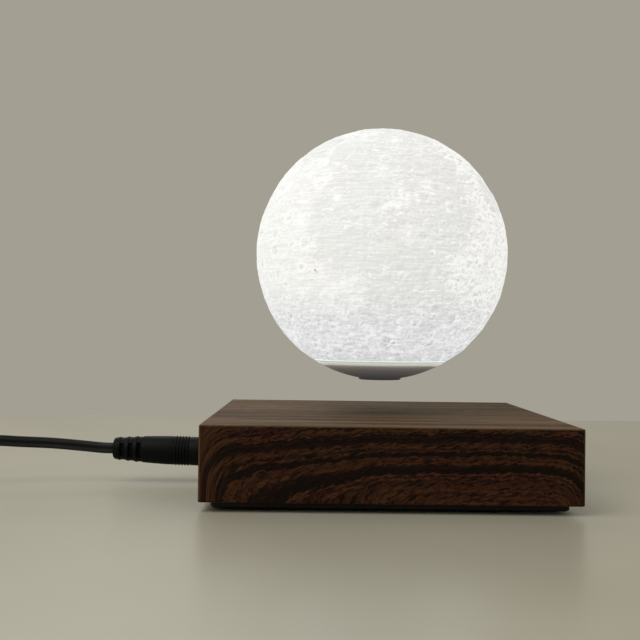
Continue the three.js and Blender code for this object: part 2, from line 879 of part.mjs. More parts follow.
// A place on the plug's axis, so far out from the base's side.
function onPlugAxis(out) {
  return [-half - out * Math.cos(tilt), 0, axisZ + out * Math.sin(tilt)];
}

// The cord lies on its edge, so its wide side is upright. Its runs are lists of places chosen by hand.
const cordLow = cordLift + cordWidth / 2;
const cordHigh = cordLow + cordWidth + coilLayerGap;
const cordOut = plugGap + plugLength + seatGap;
const coilStartX = coilX + cordWidth;
const coilEndX = coilX - cordWidth;
const cordY = coilY - coilOuter;
const runPlaces = [
  onPlugAxis(cordOut),
  onPlugAxis(cordOut + cordWidth),
  [-119.5, -0.6, 14.3],
  [-130, -2.4, 15.35],
  [-142, -5.8, 16.2],
  [-153, -10.2, 17],
  [-162.5, -14.8, 16],
  [-170.5, -18.9, 12.8],
  [-178, -22.3, 8.4],
  [-184.8, -24.4, 4.8],
  [coilStartX + seatGap + cordWidth, cordY, cordLow],
  [coilStartX + seatGap, cordY, cordLow],
];
const adapterMiddle = floorGap + adapterHeight / 2;
const sleeveY = adapterY - adapterLength / 2 - sleeveLength - seatGap;
const tailPlaces = [
  [coilEndX - seatGap, cordY, cordHigh],
  [coilEndX - seatGap - cordWidth, cordY, cordHigh],
  [-219, -24.4, 8.3],
  [-229, -23.6, 9.2],
  [-238, -20.6, 10.4],
  [-245.5, -15, 11.6],
  [-250.5, -8.4, 12.7],
  [adapterX, sleeveY - cordWidth, adapterMiddle],
  [adapterX, sleeveY, adapterMiddle],
];

// The outline of two cores side by side, narrowed between them.
function cordOutline() {
  const core = cordThickness / 2;
  const places = [];
  for (const side of [1, -1]) {
    const middle = side * (cordWidth / 2 - core);
    const [edge, flat] = [(side * cordWidth) / 2, side * core * coreSideShare];
    places.push([middle, side * core], [edge, flat], [edge, -flat], [middle, -side * core]);
    places.push([0, (-side * cordWaist) / 2]);
  }
  return new THREE.Shape(places.map(([x, y]) => new THREE.Vector2(x, y)));
}

function cordStretch(name, places, steps) {
  const points = places.map(([x, y, z]) => new THREE.Vector3(x, y, z));
  const path = new THREE.CatmullRomCurve3(points, false, "centripetal");
  const geometry = new THREE.ExtrudeGeometry(cordOutline(), { steps, extrudePath: path });
  const mesh = named(name, geometryOf(solidOf(geometry)), finishes.rubber);
  return { mesh, length: path.getLength() };
}

// The coil spirals in on the floor, climbs while it turns back, and spirals out again on top.
function coilPlace(turn) {
  const middle = coilTurns / 2;
  const radius = coilOuter - coilPitch * middle + coilPitch * Math.abs(turn - middle);
  const angle = -Math.PI / 2 - turn * 2 * Math.PI;
  const climb = THREE.MathUtils.smoothstep(turn, middle - climbTurns / 2, middle + climbTurns / 2);
  const z = cordLow + (cordHigh - cordLow) * climb;
  return new THREE.Vector3(coilX + radius * Math.cos(angle), coilY + radius * Math.sin(angle), z);
}

function coilPath() {
  const places = [new THREE.Vector3(coilStartX, cordY, cordLow)];
  const steps = coilTurns * stepsPerTurn;
  for (let i = 0; i <= steps; i++) places.push(coilPlace(i / stepsPerTurn));
  places.push(new THREE.Vector3(coilEndX, cordY, cordHigh));
  return places;
}

function cordCoil() {
  const path = coilPath();
  const [wide, thin] = [cordWidth / 2, cordThickness / 2];
  const flat = wide - thin;
  const section = [
    [thin, -flat],
    [thin, flat],
    [0, wide],
    [-thin, flat],
    [-thin, -flat],
    [0, -wide],
  ];
  const sides = section.length;
  const up = new THREE.Vector3(0, 0, 1);
  const rings = path.map((place, i) => {
    const ahead = path[Math.min(i + 1, path.length - 1)];
    const behind = path[Math.max(i - 1, 0)];
    const along = ahead.clone().sub(behind).normalize();
    const across = up.clone().cross(along).normalize();
    const rise = along.clone().cross(across);
    return section.map(([a, b]) => place.clone().addScaledVector(across, a).addScaledVector(rise, b));
  });
  const corners = rings.flat().flatMap((point) => point.toArray());
  const faces = [];
  for (let i = 0; i + 1 < rings.length; i++) {
    for (let j = 0; j < sides; j++) {
      const next = (j + 1) % sides;
      const [a, b] = [i * sides + j, i * sides + next];
      faces.push(a, b, b + sides, a, b + sides, a + sides);
    }
  }
  const last = (rings.length - 1) * sides;
  for (let j = 1; j + 1 < sides; j++) {
    faces.push(0, j + 1, j);
    faces.push(last, last + j, last + j + 1);
  }
  const geometry = new THREE.BufferGeometry();
  geometry.setAttribute("position", new THREE.Float32BufferAttribute(corners, 3));
  geometry.setIndex(faces);
  const length = path.slice(1).reduce((sum, place, i) => sum + place.distanceTo(path[i]), 0);
  return { mesh: named("cord_coil", geometry, finishes.rubber), length, gap: leastGap(rings) };
}

// The least distance between stretches of the coil that are half a turn or more apart, on its skin.
function leastGap(rings) {
  const skin = rings.map((points) => {
    const middles = points.map((point, j) => point.clone().lerp(points[(j + 1) % points.length], 0.5));
    return [...points, ...middles];
  });
  let least = Infinity;
  for (let i = 0; i < skin.length; i++) {
    for (let k = i + stepsPerTurn / 2; k < skin.length; k++) {
      for (const a of skin[i]) {
        for (const b of skin[k]) least = Math.min(least, a.distanceTo(b));
      }
    }
  }
  return least;
}

// A flat strap round all the turns at one place.
function coilTie() {
  const inner = coilOuter - (coilPitch * coilTurns) / 2 - cordThickness / 2 - tieGap;
  const outer = coilOuter + cordThickness / 2 + tieGap;
  const low = cordLow - cordWidth / 2 - seatGap;
  const high = cordHigh + cordWidth / 2 + seatGap;
  const middle = (inner + outer) / 2;
  const [width, height] = [outer - inner, high - low];
  const corner = cordThickness / 2;
  const [outerWidth, outerHeight] = [width + 2 * tieThickness, height + 2 * tieThickness];
  const strap = roundedSquare(outerWidth, outerHeight, corner + tieThickness);
  strap.holes.push(roundedSquare(width, height, corner));
  const shape = { depth: tieWidth, bevelEnabled: false, curveSegments: 3 };
  const geometry = new THREE.ExtrudeGeometry(strap, shape)
    .translate(middle, (low + high) / 2, -tieWidth / 2)
    .rotateX(Math.PI / 2)
    .rotateZ(THREE.MathUtils.degToRad(tieDegrees));
  return named("coil_tie", geometry, finishes.rubber, coilX, coilY);
}

// The wall adapter lies flat: two half shells with a seam, a sleeve round the cord and two flat pins.
function adapterBody() {
  const low = floorGap;
  const high = floorGap + adapterHeight;
  const shell = slab(adapterWidth, adapterLength, low, high, adapterCorner, adapterEdge, 4);
  const [seamLow, seamHigh] = [adapterMiddle - adapterSeam / 2, adapterMiddle + adapterSeam / 2];
  const wide = [adapterWidth + overrun, adapterLength + overrun];
  const narrow = [adapterWidth - 2 * adapterSeamDepth, adapterLength - 2 * adapterSeamDepth];
  const band = cut(
    slab(...wide, seamLow, seamHigh, adapterCorner, 0, 4),
    slab(...narrow, seamLow - overrun, seamHigh + overrun, adapterCorner, 0, 4),
  );
  const root = adapterLength / 2;
  const outline = [[0, root - overrun], [sleeveRadius, root - overrun]];
  const step = sleeveLength / (2 * sleeveRibs + 1);
  for (let i = 0; i <= 2 * sleeveRibs; i++) {
    const radius = sleeveRadius + ((sleeveTail - sleeveRadius) * i) / (2 * sleeveRibs);
    const proud = i % 2 ? -sleeveRib : 0;
    outline.push([radius + proud, root + i * step], [radius + proud, root + (i + 1) * step]);
  }
  outline.push([0, root + sleeveLength]);
  const sleeve = turned(outline, screwSides).rotateX(Math.PI / 2).translate(0, 0, adapterMiddle);
  const slots = [-1, 1].map((side) =>
    box(pinThickness + 2 * seatGap, 2 * (pinBite + seatGap), pinWidth + 2 * seatGap)
      .translate((side * pinSpacing) / 2, root, adapterMiddle),
  );
  return named("adapter_body", cut(join(cut(shell, band), sleeve), ...slots), finishes.black);
}

function adapterPins() {
  const [low, high] = [-pinBite, pinLength];
  const nose = pinWidth * pinNoseShare;
  const outline = new THREE.Shape();
  outline.moveTo(low, -pinWidth / 2);
  outline.lineTo(high - nose, -pinWidth / 2);
  outline.lineTo(high, nose - pinWidth / 2);
  outline.lineTo(high, pinWidth / 2 - nose);
  outline.lineTo(high - nose, pinWidth / 2);
  outline.lineTo(low, pinWidth / 2);
  outline.closePath();
  const hole = new THREE.Path();
  hole.absarc(high - pinHoleInset, 0, pinHole, 0, 2 * Math.PI, true);
  outline.holes.push(hole);
  const shape = { depth: pinThickness, bevelEnabled: false, curveSegments: 6 };
  const blade = new THREE.ExtrudeGeometry(outline, shape)
    .translate(0, 0, -pinThickness / 2)
    .rotateX(Math.PI / 2)
    .rotateZ(Math.PI / 2)
    .translate(0, adapterLength / 2, adapterMiddle);
  return [-1, 1].map((side, i) =>
    named("adapter_pin_" + (i + 1), blade, finishes.nickel, (side * pinSpacing) / 2),
  );
}

function adapter() {
  const made = group(adapterBody(), ...adapterPins());
  made.position.set(adapterX, adapterY, 0);
  return made;
}

const run = cordStretch("cord_run", runPlaces, 14);
const coil = cordCoil();
const tail = cordStretch("cord_tail", tailPlaces, 10);
console.log("least gap in the coil, mm:", coil.gap.toFixed(2));
console.log("cord length, mm:", (run.length + coil.length + tail.length).toFixed(0));

const base = group(
  baseHousing(),
  bottomPlate(),
  ...feet(),
  ...plateScrews(),
  mainBoard(),
  ...boardScrews(),
  powerSocket(),
  drive(),
  hallSensors(),
  powerSender(),
  boardParts(),
);
const moon = group(moonShell(), moonCap(), glowRing(), floatMagnet(), moonLight());
const supply = group(plug(), run.mesh, coil.mesh, tail.mesh, coilTie(), adapter());

export default group(base, moon, supply);
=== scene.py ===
import json
from math import acos, asin, cos, pi, radians, sin, sqrt

import bmesh
import bpy
import numpy as np
from mathutils import Matrix, Vector, noise


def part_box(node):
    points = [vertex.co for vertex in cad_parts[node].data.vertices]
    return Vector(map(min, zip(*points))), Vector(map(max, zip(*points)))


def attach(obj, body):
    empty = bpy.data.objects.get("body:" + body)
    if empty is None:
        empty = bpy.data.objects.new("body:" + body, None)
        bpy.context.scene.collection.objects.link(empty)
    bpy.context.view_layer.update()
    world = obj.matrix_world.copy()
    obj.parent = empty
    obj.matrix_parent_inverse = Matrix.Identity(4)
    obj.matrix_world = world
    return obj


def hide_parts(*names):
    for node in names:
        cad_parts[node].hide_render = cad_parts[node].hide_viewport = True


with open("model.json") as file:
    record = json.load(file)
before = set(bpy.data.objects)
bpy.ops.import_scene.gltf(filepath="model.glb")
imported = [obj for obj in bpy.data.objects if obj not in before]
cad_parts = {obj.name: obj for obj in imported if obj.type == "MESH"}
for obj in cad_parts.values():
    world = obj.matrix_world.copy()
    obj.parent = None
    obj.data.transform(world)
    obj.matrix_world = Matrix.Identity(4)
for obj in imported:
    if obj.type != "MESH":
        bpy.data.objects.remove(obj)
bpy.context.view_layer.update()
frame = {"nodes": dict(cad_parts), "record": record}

# Lengths are millimetres in the CAD's frame, and MM turns them into metres.
MM = 0.001
scene = bpy.context.scene

# Sizes that follow the CAD
GAP = 0.3
HALF_SIDE = 65.0
WOOD_LOW = 3.3
MOON_Z = 92.7
MOON_RADIUS = 50.3
SHELL_WALL = 1.8
SEAM_RADIUS = 27.2
SEAM_Z = MOON_Z - sqrt(MOON_RADIUS**2 - SEAM_RADIUS**2)
PLUG_AXIS_Z = 12.3
PLUG_TILT = radians(1.5)
PLUG_GAP = 0.4
PLUG_LENGTH = 41.3

# Camera
SENSOR_WIDTH = 36
LENS = 52.882
NEAREST = 10
CAMERA_PLACE = (-26.51, -380.57, 58.92)
TURN_DEGREES = -0.315
PITCH_DEGREES = 1.0822
ROLL_DEGREES = -0.7220


def moved(place):
    return Matrix.Translation(Vector(place) * MM)


def turned(degrees, axis):
    return Matrix.Rotation(radians(degrees), 4, axis)


def make_camera():
    """The photograph's camera, solved from the base's corners and the globe's outline."""
    data = bpy.data.cameras.new("Camera")
    data.sensor_width = SENSOR_WIDTH
    data.lens = LENS
    data.clip_start = NEAREST * MM
    camera = bpy.data.objects.new("Camera", data)
    scene.collection.objects.link(camera)
    level = turned(TURN_DEGREES, "Z") @ turned(PITCH_DEGREES, "X") @ turned(ROLL_DEGREES, "Y")
    camera.matrix_world = moved(CAMERA_PLACE) @ (level @ turned(90, "X"))
    scene.camera = camera


# Meshes
ON_AXIS = 1e-6


def mesh_object(name, points, faces, smooth=True):
    """A mesh object from points in millimetres."""
    mesh = bpy.data.meshes.new(name)
    mesh.from_pydata([tuple(Vector(p) * MM) for p in points], [], faces)
    mesh.update()
    mesh.polygons.foreach_set("use_smooth", [smooth] * len(mesh.polygons))
    made = bpy.data.objects.new(name, mesh)
    scene.collection.objects.link(made)
    return made


def crease(made, degrees):
    """Turns a closed mesh's faces outwards, and keeps edges crisp that bend by more than this."""
    work = bmesh.new()
    work.from_mesh(made.data)
    bmesh.ops.recalc_face_normals(work, faces=work.faces)
    for edge in work.edges:
        if edge.calc_face_angle(0) > radians(degrees):
            edge.smooth = False
    work.to_mesh(made.data)
    work.free()


def paint(made, material):
    """Gives a piece one material in place of any that it has."""
    made.data.materials.clear()
    made.data.materials.append(material)


def polar(radius, angle):
    return radius * cos(angle), radius * sin(angle)


def lathe(outline, sides):
    """Points and faces of an outline turned about Z. One that starts off the axis is closed."""
    points, rows = [], []
    for radius, height in outline:
        if radius < ON_AXIS:
            rows.append([len(points)] * sides)
            points.append((0, 0, height))
            continue
        rows.append(range(len(points), len(points) + sides))
        points += [(*polar(radius, 2 * pi * i / sides), height) for i in range(sides)]
    if outline[0][0] > ON_AXIS:
        rows.append(rows[0])
    faces = []
    for low, high in zip(rows, rows[1:]):
        for i in range(sides):
            k = (i + 1) % sides
            face = list(dict.fromkeys([low[i], low[k], high[k], high[i]]))
            if len(face) > 2:
                faces.append(face)
    return points, faces


def turned_solid(name, outline, sides):
    made = mesh_object(name, *lathe(outline, sides))
    crease(made, 35)
    return made


def tube_faces(rings, sides):
    """Faces of a closed tube whose points are given ring by ring."""
    last = (rings - 1) * sides
    faces = []
    for i in range(0, last, sides):
        for j in range(sides):
            k = (j + 1) % sides
            faces.append([i + j, i + k, i + sides + k, i + sides + j])
    return [*faces, range(sides), range(last, last + sides)]


def sweep(name, path, section, upright=(0, 0, 1)):
    """A closed tube along path. The section's pairs lie across and up from the path's line."""
    points = []
    for before, place, after in zip([path[0], *path], path, [*path[1:], path[-1]]):
        along = (after - before).normalized()
        across = Vector(upright).cross(along).normalized()
        rise = along.cross(across)
        points += [place + across * a + rise * b for a, b in section]
    made = mesh_object(name, points, tube_faces(len(path), len(section)))
    crease(made, 60)
    return made


def cutter(points):
    """A closed body to cut with, from two rings of points."""
    made = mesh_object("cutter", points, tube_faces(2, len(points) // 2), smooth=False)
    crease(made, 180)
    return made


def cut(made, cutters):
    """Cuts the cutters out of a closed mesh, and removes them."""
    for body in cutters:
        step = made.modifiers.new("cut", "BOOLEAN")
        step.operation = "DIFFERENCE"
        step.solver = "EXACT"
        step.object = body
    depsgraph = bpy.context.evaluated_depsgraph_get()
    final = bpy.data.meshes.new_from_object(made.evaluated_get(depsgraph))
    made.modifiers.clear()
    made.data = final
    for body in cutters:
        bpy.data.objects.remove(body)


def between(row, starts, ends, t):
    """For each pair of neighbours, the place at t on the line through them."""
    return [
        a * ((end - t) / (end - start)) + b * ((t - start) / (end - start))
        for a, b, start, end in zip(row, row[1:], starts, ends)
    ]


def centripetal(places, steps):
    """Points on a centripetal Catmull-Rom curve through places, steps to a span."""
    points = [Vector(p) for p in places]
    chain = [points[0] * 2 - points[1], *points, points[-1] * 2 - points[-2]]
    made = []
    for i in range(len(chain) - 3):
        span = chain[i : i + 4]
        knots = [0]
        for a, b in zip(span, span[1:]):
            knots.append(knots[-1] + (b - a).length ** 0.5)
        for k in range(steps):
            t = knots[1] + (knots[2] - knots[1]) * k / steps
            row = between(span, knots, knots[1:], t)
            row = between(row, knots, knots[2:], t)
            made += between(row, knots[1:], knots[2:], t)
    return [*made, points[-1]]


def round_box(low, high, radius, steps):
    """The outline of a box with round corners. Low and high are two of the corners' centres."""
    points = []
    for x, y, start in ((low, high, 90), (low, low, 180), (high, low, 270), (high, high, 0)):
        for k in range(steps + 1):
            across, up = polar(radius, radians(start + 90 * k / steps))
            points.append((x[0] + across, y[1] + up))
    return points


def smoothstep(x, low, high):
    """From 0 at low to 1 at high, with a soft start and end."""
    t = np.clip((x - low) / (high - low), 0, 1)
    return t * t * (3 - 2 * t)


# Materials
# A noise lies mostly between these two values.
NOISE_LOW = 0.3
NOISE_HIGH = 0.7


class Amount:
    """A number that a material works out at every place. It takes plain arithmetic."""

    def __init__(self, shader, socket):
        self.shader = shader
        self.socket = socket

    def __add__(self, other):
        return self.shader.math("ADD", self, other)

    def __sub__(self, other):
        return self.shader.math("SUBTRACT", self, other)

    def __rsub__(self, other):
        return self.shader.math("SUBTRACT", other, self)

    def __mul__(self, other):
        return self.shader.math("MULTIPLY", self, other)

    def __truediv__(self, other):
        return self.shader.math("DIVIDE", self, other)

    def __abs__(self):
        return self.shader.math("ABSOLUTE", self)

    __radd__ = __add__
    __rmul__ = __mul__


class Shader:
    """A Principled material, with short calls for the nodes that feed it."""

    # the Mix node's colour sockets share their names with its other sockets
    MIX_FIRST = 6
    MIX_SECOND = 7
    MIX_RESULT = 2

    def __init__(self, name):
        self.material = bpy.data.materials.new(name)
        self.material.use_nodes = True
        self.tree = self.material.node_tree
        self.surface = self.tree.nodes["Principled BSDF"]
        # the place on the part, in millimetres
        self.place = self.vmath("SCALE", self.node("TexCoord").outputs["Object"], 1 / MM)

    def put(self, socket, value):
        """Sets a socket to a number, a vector, a colour or what another socket gives."""
        if isinstance(value, Amount):
            value = value.socket
        if isinstance(value, bpy.types.NodeSocket):
            self.tree.links.new(value, socket)
        elif socket.type == "RGBA":
            socket.default_value = (*value, 1)
        else:
            socket.default_value = value

    def fill(self, node, **inputs):
        for key, value in inputs.items():
            self.put(node.inputs[key.replace("_", " ")], value)

    def finish(self, **inputs):
        """The material, with its surface's sockets set."""
        self.fill(self.surface, **inputs)
        return self.material

    def node(self, kind, *inputs, **settings):
        """A node with its first sockets filled, and its settings."""
        made = self.tree.nodes.new("ShaderNode" + kind)
        for key, value in settings.items():
            setattr(made, key, value)
        for socket, value in zip(made.inputs, inputs):
            self.put(socket, value)
        return made

    def parts(self, vector):
        return [Amount(self, part) for part in self.node("SeparateXYZ", vector).outputs]

    def vector(self, x, y, z):
        return self.node("CombineXYZ", x, y, z).outputs[0]

    def math(self, operation, *inputs, clamp=False):
        return Amount(self, self.node("Math", *inputs, operation=operation, use_clamp=clamp).outputs[0])

    def vmath(self, operation, a, b=(0, 0, 0)):
        made = self.node("VectorMath", a, operation=operation)
        self.put(made.inputs["Scale" if operation == "SCALE" else 1], b)
        return made.outputs[0]

    def distance(self, a, b):
        return Amount(self, self.node("VectorMath", a, b, operation="DISTANCE").outputs["Value"])

    def cloud(self, where, scale, detail, roughness=0.5, distortion=0.0):
        """A noise node over a place, or along a single number."""
        line = isinstance(where, Amount)
        made = self.node("TexNoise", noise_dimensions="1D" if line else "3D")
        self.put(made.inputs["W" if line else "Vector"], where)
        self.fill(made, Scale=scale, Detail=detail, Roughness=roughness, Distortion=distortion)
        return made

    def noise(self, where, scale=1.0, detail=2.0, **settings):
        return Amount(self, self.cloud(where, scale, detail, **settings).outputs[0])

    def stretched(self, where, stretch, detail=2.0, **settings):
        """A noise over a place that is first multiplied by stretch."""
        return self.noise(self.vmath("MULTIPLY", where, stretch), 1.0, detail, **settings)

    def shifted(self, start, where, scale, detail, reach):
        """A place moved by up to about half of reach, by a noise over where."""
        colour = self.cloud(where, scale, detail).outputs["Color"]
        centred = self.vmath("SUBTRACT", colour, (0.5, 0.5, 0.5))
        return self.vmath("ADD", start, self.vmath("SCALE", centred, reach))

    def cells(self, where, scale, randomness=1.0):
        """The distance to the nearest of many scattered points, and its colour."""
        made = self.node("TexVoronoi", feature="F1")
        self.fill(made, Vector=where, Scale=scale, Randomness=randomness)
        return Amount(self, made.outputs["Distance"]), made.outputs["Color"]

    def waves(self, amount, pitch):
        return self.math("SINE", amount * (2 * pi / pitch))

    def ramp(self, factor, *stops):
        """Runs through colours, given as places from 0 to 1 with linear colours."""
        made = self.node("ValToRGB", factor)
        elements = made.color_ramp.elements
        elements.remove(elements[1])
        for i, (at, colour) in enumerate(stops):
            element = elements.new(at) if i else elements[0]
            element.position = at
            element.color = (*colour, 1)
        return made.outputs[0]

    def tones(self, factor, stops):
        """A ramp whose colours are given as they are seen on a screen."""
        return self.ramp(factor, *((at, linear(*colour)) for at, colour in stops))

    def shades(self, noise, low, high):
        """A noise as a drift from one linear colour to another."""
        return self.ramp(noise, (NOISE_LOW, low), (NOISE_HIGH, high))

    def remap(self, value, low, high, out_low=0.0, out_high=1.0, kind="LINEAR"):
        made = self.node("MapRange", value, low, high, out_low, out_high, interpolation_type=kind)
        return Amount(self, made.outputs[0])

    def fade(self, value, low, high, out_low=0.0, out_high=1.0):
        """As remap, with a soft start and end."""
        return self.remap(value, low, high, out_low, out_high, "SMOOTHSTEP")

    def vary(self, noise, low, high):
        """A noise as an amount between low and high."""
        return self.remap(noise, NOISE_LOW, NOISE_HIGH, low, high)

    def mix(self, factor, a, b, blend="MIX"):
        made = self.node("Mix", factor, data_type="RGBA", blend_type=blend)
        self.put(made.inputs[self.MIX_FIRST], a)
        self.put(made.inputs[self.MIX_SECOND], b)
        return made.outputs[self.MIX_RESULT]

    def tint(self, a, b):
        """One colour multiplied by another."""
        return self.mix(1.0, a, b, "MULTIPLY")

    def bump(self, height, strength, depth, normal=None):
        """Depth is in millimetres."""
        made = self.node("Bump")
        self.fill(made, Height=height, Strength=strength, Distance=depth * MM)
        if normal is not None:
            self.put(made.inputs["Normal"], normal)
        return made.outputs[0]


def linear(*seen):
    """A colour as it is seen on a screen, 0 to 255, as the shader's linear one."""
    shares = [part / 255 for part in seen]
    return tuple(c / 12.92 if c <= 0.04045 else ((c + 0.055) / 1.055) ** 2.4 for c in shares)


def scaled(colour, share):
    return tuple(min(1, part * share) for part in colour)


def plastic(name, colour, rough, grain=3.0, bump=0.15, spread=0.25, specular=0.5):
    """Moulded plastic or rubber with a fine grain and a slow drift of shade and gloss."""
    made = Shader(name)
    slow = made.noise(made.place, scale=0.09, detail=3)
    fine = made.noise(made.place, scale=grain, roughness=0.6)
    low, high = scaled(colour, 1 - spread), scaled(colour, 1 + spread)
    return made.finish(
        Base_Color=made.shades(slow * 0.6 + fine * 0.4, low, high),
        Roughness=made.vary(slow, rough - 0.06, rough + 0.08),
        Specular_IOR_Level=specular,
        Normal=made.bump(fine, bump, depth=0.05),
    )


def metal(name, colour, rough):
    """Metal, a little stained, with fine scratches."""
    made = Shader(name)
    flattened = made.vmath("MULTIPLY", made.place, (1, 1, 12))
    lines = made.noise(flattened, scale=1.2, detail=4, roughness=0.6)
    stains = made.noise(made.place, scale=0.25, detail=3)
    return made.finish(
        Base_Color=made.ramp(stains, (0.3, scaled(colour, 0.8)), (0.6, colour)),
        Metallic=1.0,
        Roughness=made.vary(lines, rough - 0.05, rough + 0.1),
        Normal=made.bump(lines, 0.08, depth=0.02),
    )


# Cord
CORD_WIDTH = 4.4
CORD_THICKNESS = 2.5
CORD_WAIST = 1.7
CORE_RADIUS = CORD_THICKNESS / 2
CORE_MIDDLE = CORD_WIDTH / 2 - CORE_RADIUS
CORE_STEPS = 9
CORD_LOW = 0.85 + CORD_WIDTH / 2
LAYER_GAP = 0.55
CORD_HIGH = CORD_LOW + CORD_WIDTH + LAYER_GAP
COIL_X = -200
COIL_Y = 5
COIL_OUTER = 29.6
COIL_PITCH = 3.4
COIL_TURNS = 7
COIL_STEPS = 40
CLIMB_TURNS = 0.5
RUN_STEPS = 8
TAIL_STEPS = 6
ADAPTER_X = -253
ADAPTER_Y = 42
ADAPTER_LOW = 0.05
ADAPTER_HEIGHT = 27
ADAPTER_HALF_LENGTH = 29
SLEEVE_LENGTH = 14
ADAPTER_MIDDLE = ADAPTER_LOW + ADAPTER_HEIGHT / 2
SLEEVE_Y = ADAPTER_Y - ADAPTER_HALF_LENGTH - SLEEVE_LENGTH - GAP


def on_plug_axis(out):
    """A place on the plug's slanted axis, out from the base's side."""
    return (-HALF_SIDE - out * cos(PLUG_TILT), 0, PLUG_AXIS_Z + out * sin(PLUG_TILT))


def coil_path(start, end, south):
    """Turns that spiral in on the lower layer and out again on the upper one."""
    places = [Vector((start, south, CORD_LOW))]
    middle = COIL_TURNS / 2
    for i in range(COIL_TURNS * COIL_STEPS + 1):
        turn = i / COIL_STEPS
        radius = COIL_OUTER - COIL_PITCH * middle + COIL_PITCH * abs(turn - middle)
        angle = -pi / 2 - turn * 2 * pi
        climb = float(smoothstep(turn, middle - CLIMB_TURNS / 2, middle + CLIMB_TURNS / 2))
        height = CORD_LOW + (CORD_HIGH - CORD_LOW) * climb
        x, y = polar(radius, angle)
        places.append(Vector((COIL_X + x, COIL_Y + y, height)))
    return [*places, Vector((end, south, CORD_HIGH))]


def cord_path():
    """The run from the plug, the coil and the tail into the adapter."""
    out = PLUG_GAP + PLUG_LENGTH + GAP
    south = COIL_Y - COIL_OUTER
    start = COIL_X + CORD_WIDTH
    end = COIL_X - CORD_WIDTH
    run = [
        on_plug_axis(out),
        on_plug_axis(out + CORD_WIDTH),
        *((-119.5, -0.6, 14.3), (-130, -2.4, 15.35), (-142, -5.8, 16.2), (-153, -10.2, 17)),
        *((-162.5, -14.8, 16), (-170.5, -18.9, 12.8), (-178, -22.3, 8.4), (-184.8, -24.4, 4.8)),
        (start + GAP + CORD_WIDTH, south, CORD_LOW),
        (start + GAP, south, CORD_LOW),
    ]
    tail = [
        (end - GAP, south, CORD_HIGH),
        (end - GAP - CORD_WIDTH, south, CORD_HIGH),
        *((-219, -24.4, 8.3), (-229, -23.6, 9.2), (-238, -20.6, 10.4)),
        *((-245.5, -15, 11.6), (-250.5, -8.4, 12.7)),
        (ADAPTER_X, SLEEVE_Y - CORD_WIDTH, ADAPTER_MIDDLE),
        (ADAPTER_X, SLEEVE_Y, ADAPTER_MIDDLE),
    ]
    return centripetal(run, RUN_STEPS) + coil_path(start, end, south) + centripetal(tail, TAIL_STEPS)


def cord_section():
    """Two round cores, one over the other, with a narrow web between them."""
    reach = asin((CORD_WAIST / 2) / CORE_RADIUS)
    section = []
    for side, first in ((1, -reach), (-1, pi - reach)):
        for i in range(CORE_STEPS + 1):
            across, up = polar(CORE_RADIUS, first + (pi + 2 * reach) * i / CORE_STEPS)
            section.append((across, side * CORE_MIDDLE + up))
    return section


def crown(up):
    """How far a place on the section is from the groove, 1 on the crown of either core: how much
    painted highlight it gets.
    """
    return min(abs(up) / CORE_MIDDLE, 1 - 0.75 * (abs(up) - CORE_MIDDLE) / CORE_RADIUS)


# From painted shade in the groove to a painted highlight on each core's crown
CORD_LIGHT_AND_SHADE_TONES = ((0.1, (2, 2, 2)), (0.5, (11, 12, 12)), (1.0, (52, 54, 55)))


def cord_material():
    """Black jacket, with a painted highlight on the crown of each core and painted shade in the groove.
    """
    made = Shader("cord_black")
    painted_crown_light = Amount(made, made.node("Attribute", attribute_name="crown").outputs["Fac"])
    slow = made.noise(made.place, scale=0.09, detail=3)
    fine = made.noise(made.place, scale=6, roughness=0.6)
    return made.finish(
        Base_Color=made.tones(painted_crown_light + (slow - 0.5) * 0.3, CORD_LIGHT_AND_SHADE_TONES),
        Roughness=made.vary(slow, 0.32, 0.46),
        Specular_IOR_Level=0.2,
        Normal=made.bump(fine, 0.08, depth=0.05),
    )


def make_cord():
    path = cord_path()
    section = cord_section()
    cord = sweep("flat_cord", path, section)
    # each point's share of the painted highlight, stored on the mesh
    painted_crown_light_shares = [crown(up) for _, up in section] * len(path)
    cord.data.attributes.new("crown", "FLOAT", "POINT").data.foreach_set("value", painted_crown_light_shares)
    paint(cord, cord_material())
    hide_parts("cord_run", "cord_coil", "cord_tail")
    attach(cord, "power_plug")
    tuple(path[0] * MM)
    [tuple(p * MM) for p in path]


# Tie
TIE_WIDTH = 7
TIE_THICKNESS = 0.6
TIE_EDGE = 0.1
TIE_EDGE_DEPTH = 0.08
TIE_DEGREES = 35
TIE_INNER = 16.4
TIE_OUTER = 30.2
TIE_LOW = 0.7
TIE_HIGH = CORD_HIGH + CORD_WIDTH / 2 + 0.25
TIE_BEND = 1.6
BEND_STEPS = 8
LAP_STEP = TIE_THICKNESS + 0.08
LAP_END = TIE_INNER + TIE_BEND + 0.6


def tie_path():
    """Once round the coil's section, and on over the start."""
    middle, top = (TIE_INNER + TIE_OUTER) / 2, TIE_HIGH + TIE_THICKNESS / 2
    low = (TIE_INNER + TIE_BEND, TIE_LOW + TIE_BEND)
    high = (TIE_OUTER - TIE_BEND, TIE_HIGH - TIE_BEND)
    bends = round_box(low, high, TIE_BEND + TIE_THICKNESS / 2, BEND_STEPS)
    places = [(middle, top), *bends, (middle, top), (middle - 1.2, top + LAP_STEP * 0.8)]
    places += [(middle - 2.4, top + LAP_STEP), (LAP_END, top + LAP_STEP)]
    return [Vector((x, 0, z)) for x, z in places]


def tie_section():
    """The strap's flat section with its four edges broken."""
    half, proud = TIE_WIDTH / 2, TIE_THICKNESS / 2
    corner = [(proud - TIE_EDGE_DEPTH, half), (proud, half - TIE_EDGE)]
    turns = ((1, -1, corner), (1, 1, corner[::-1]), (-1, 1, corner), (-1, -1, corner[::-1]))
    return [(side * a, end * b) for side, end, pair in turns for a, b in pair]


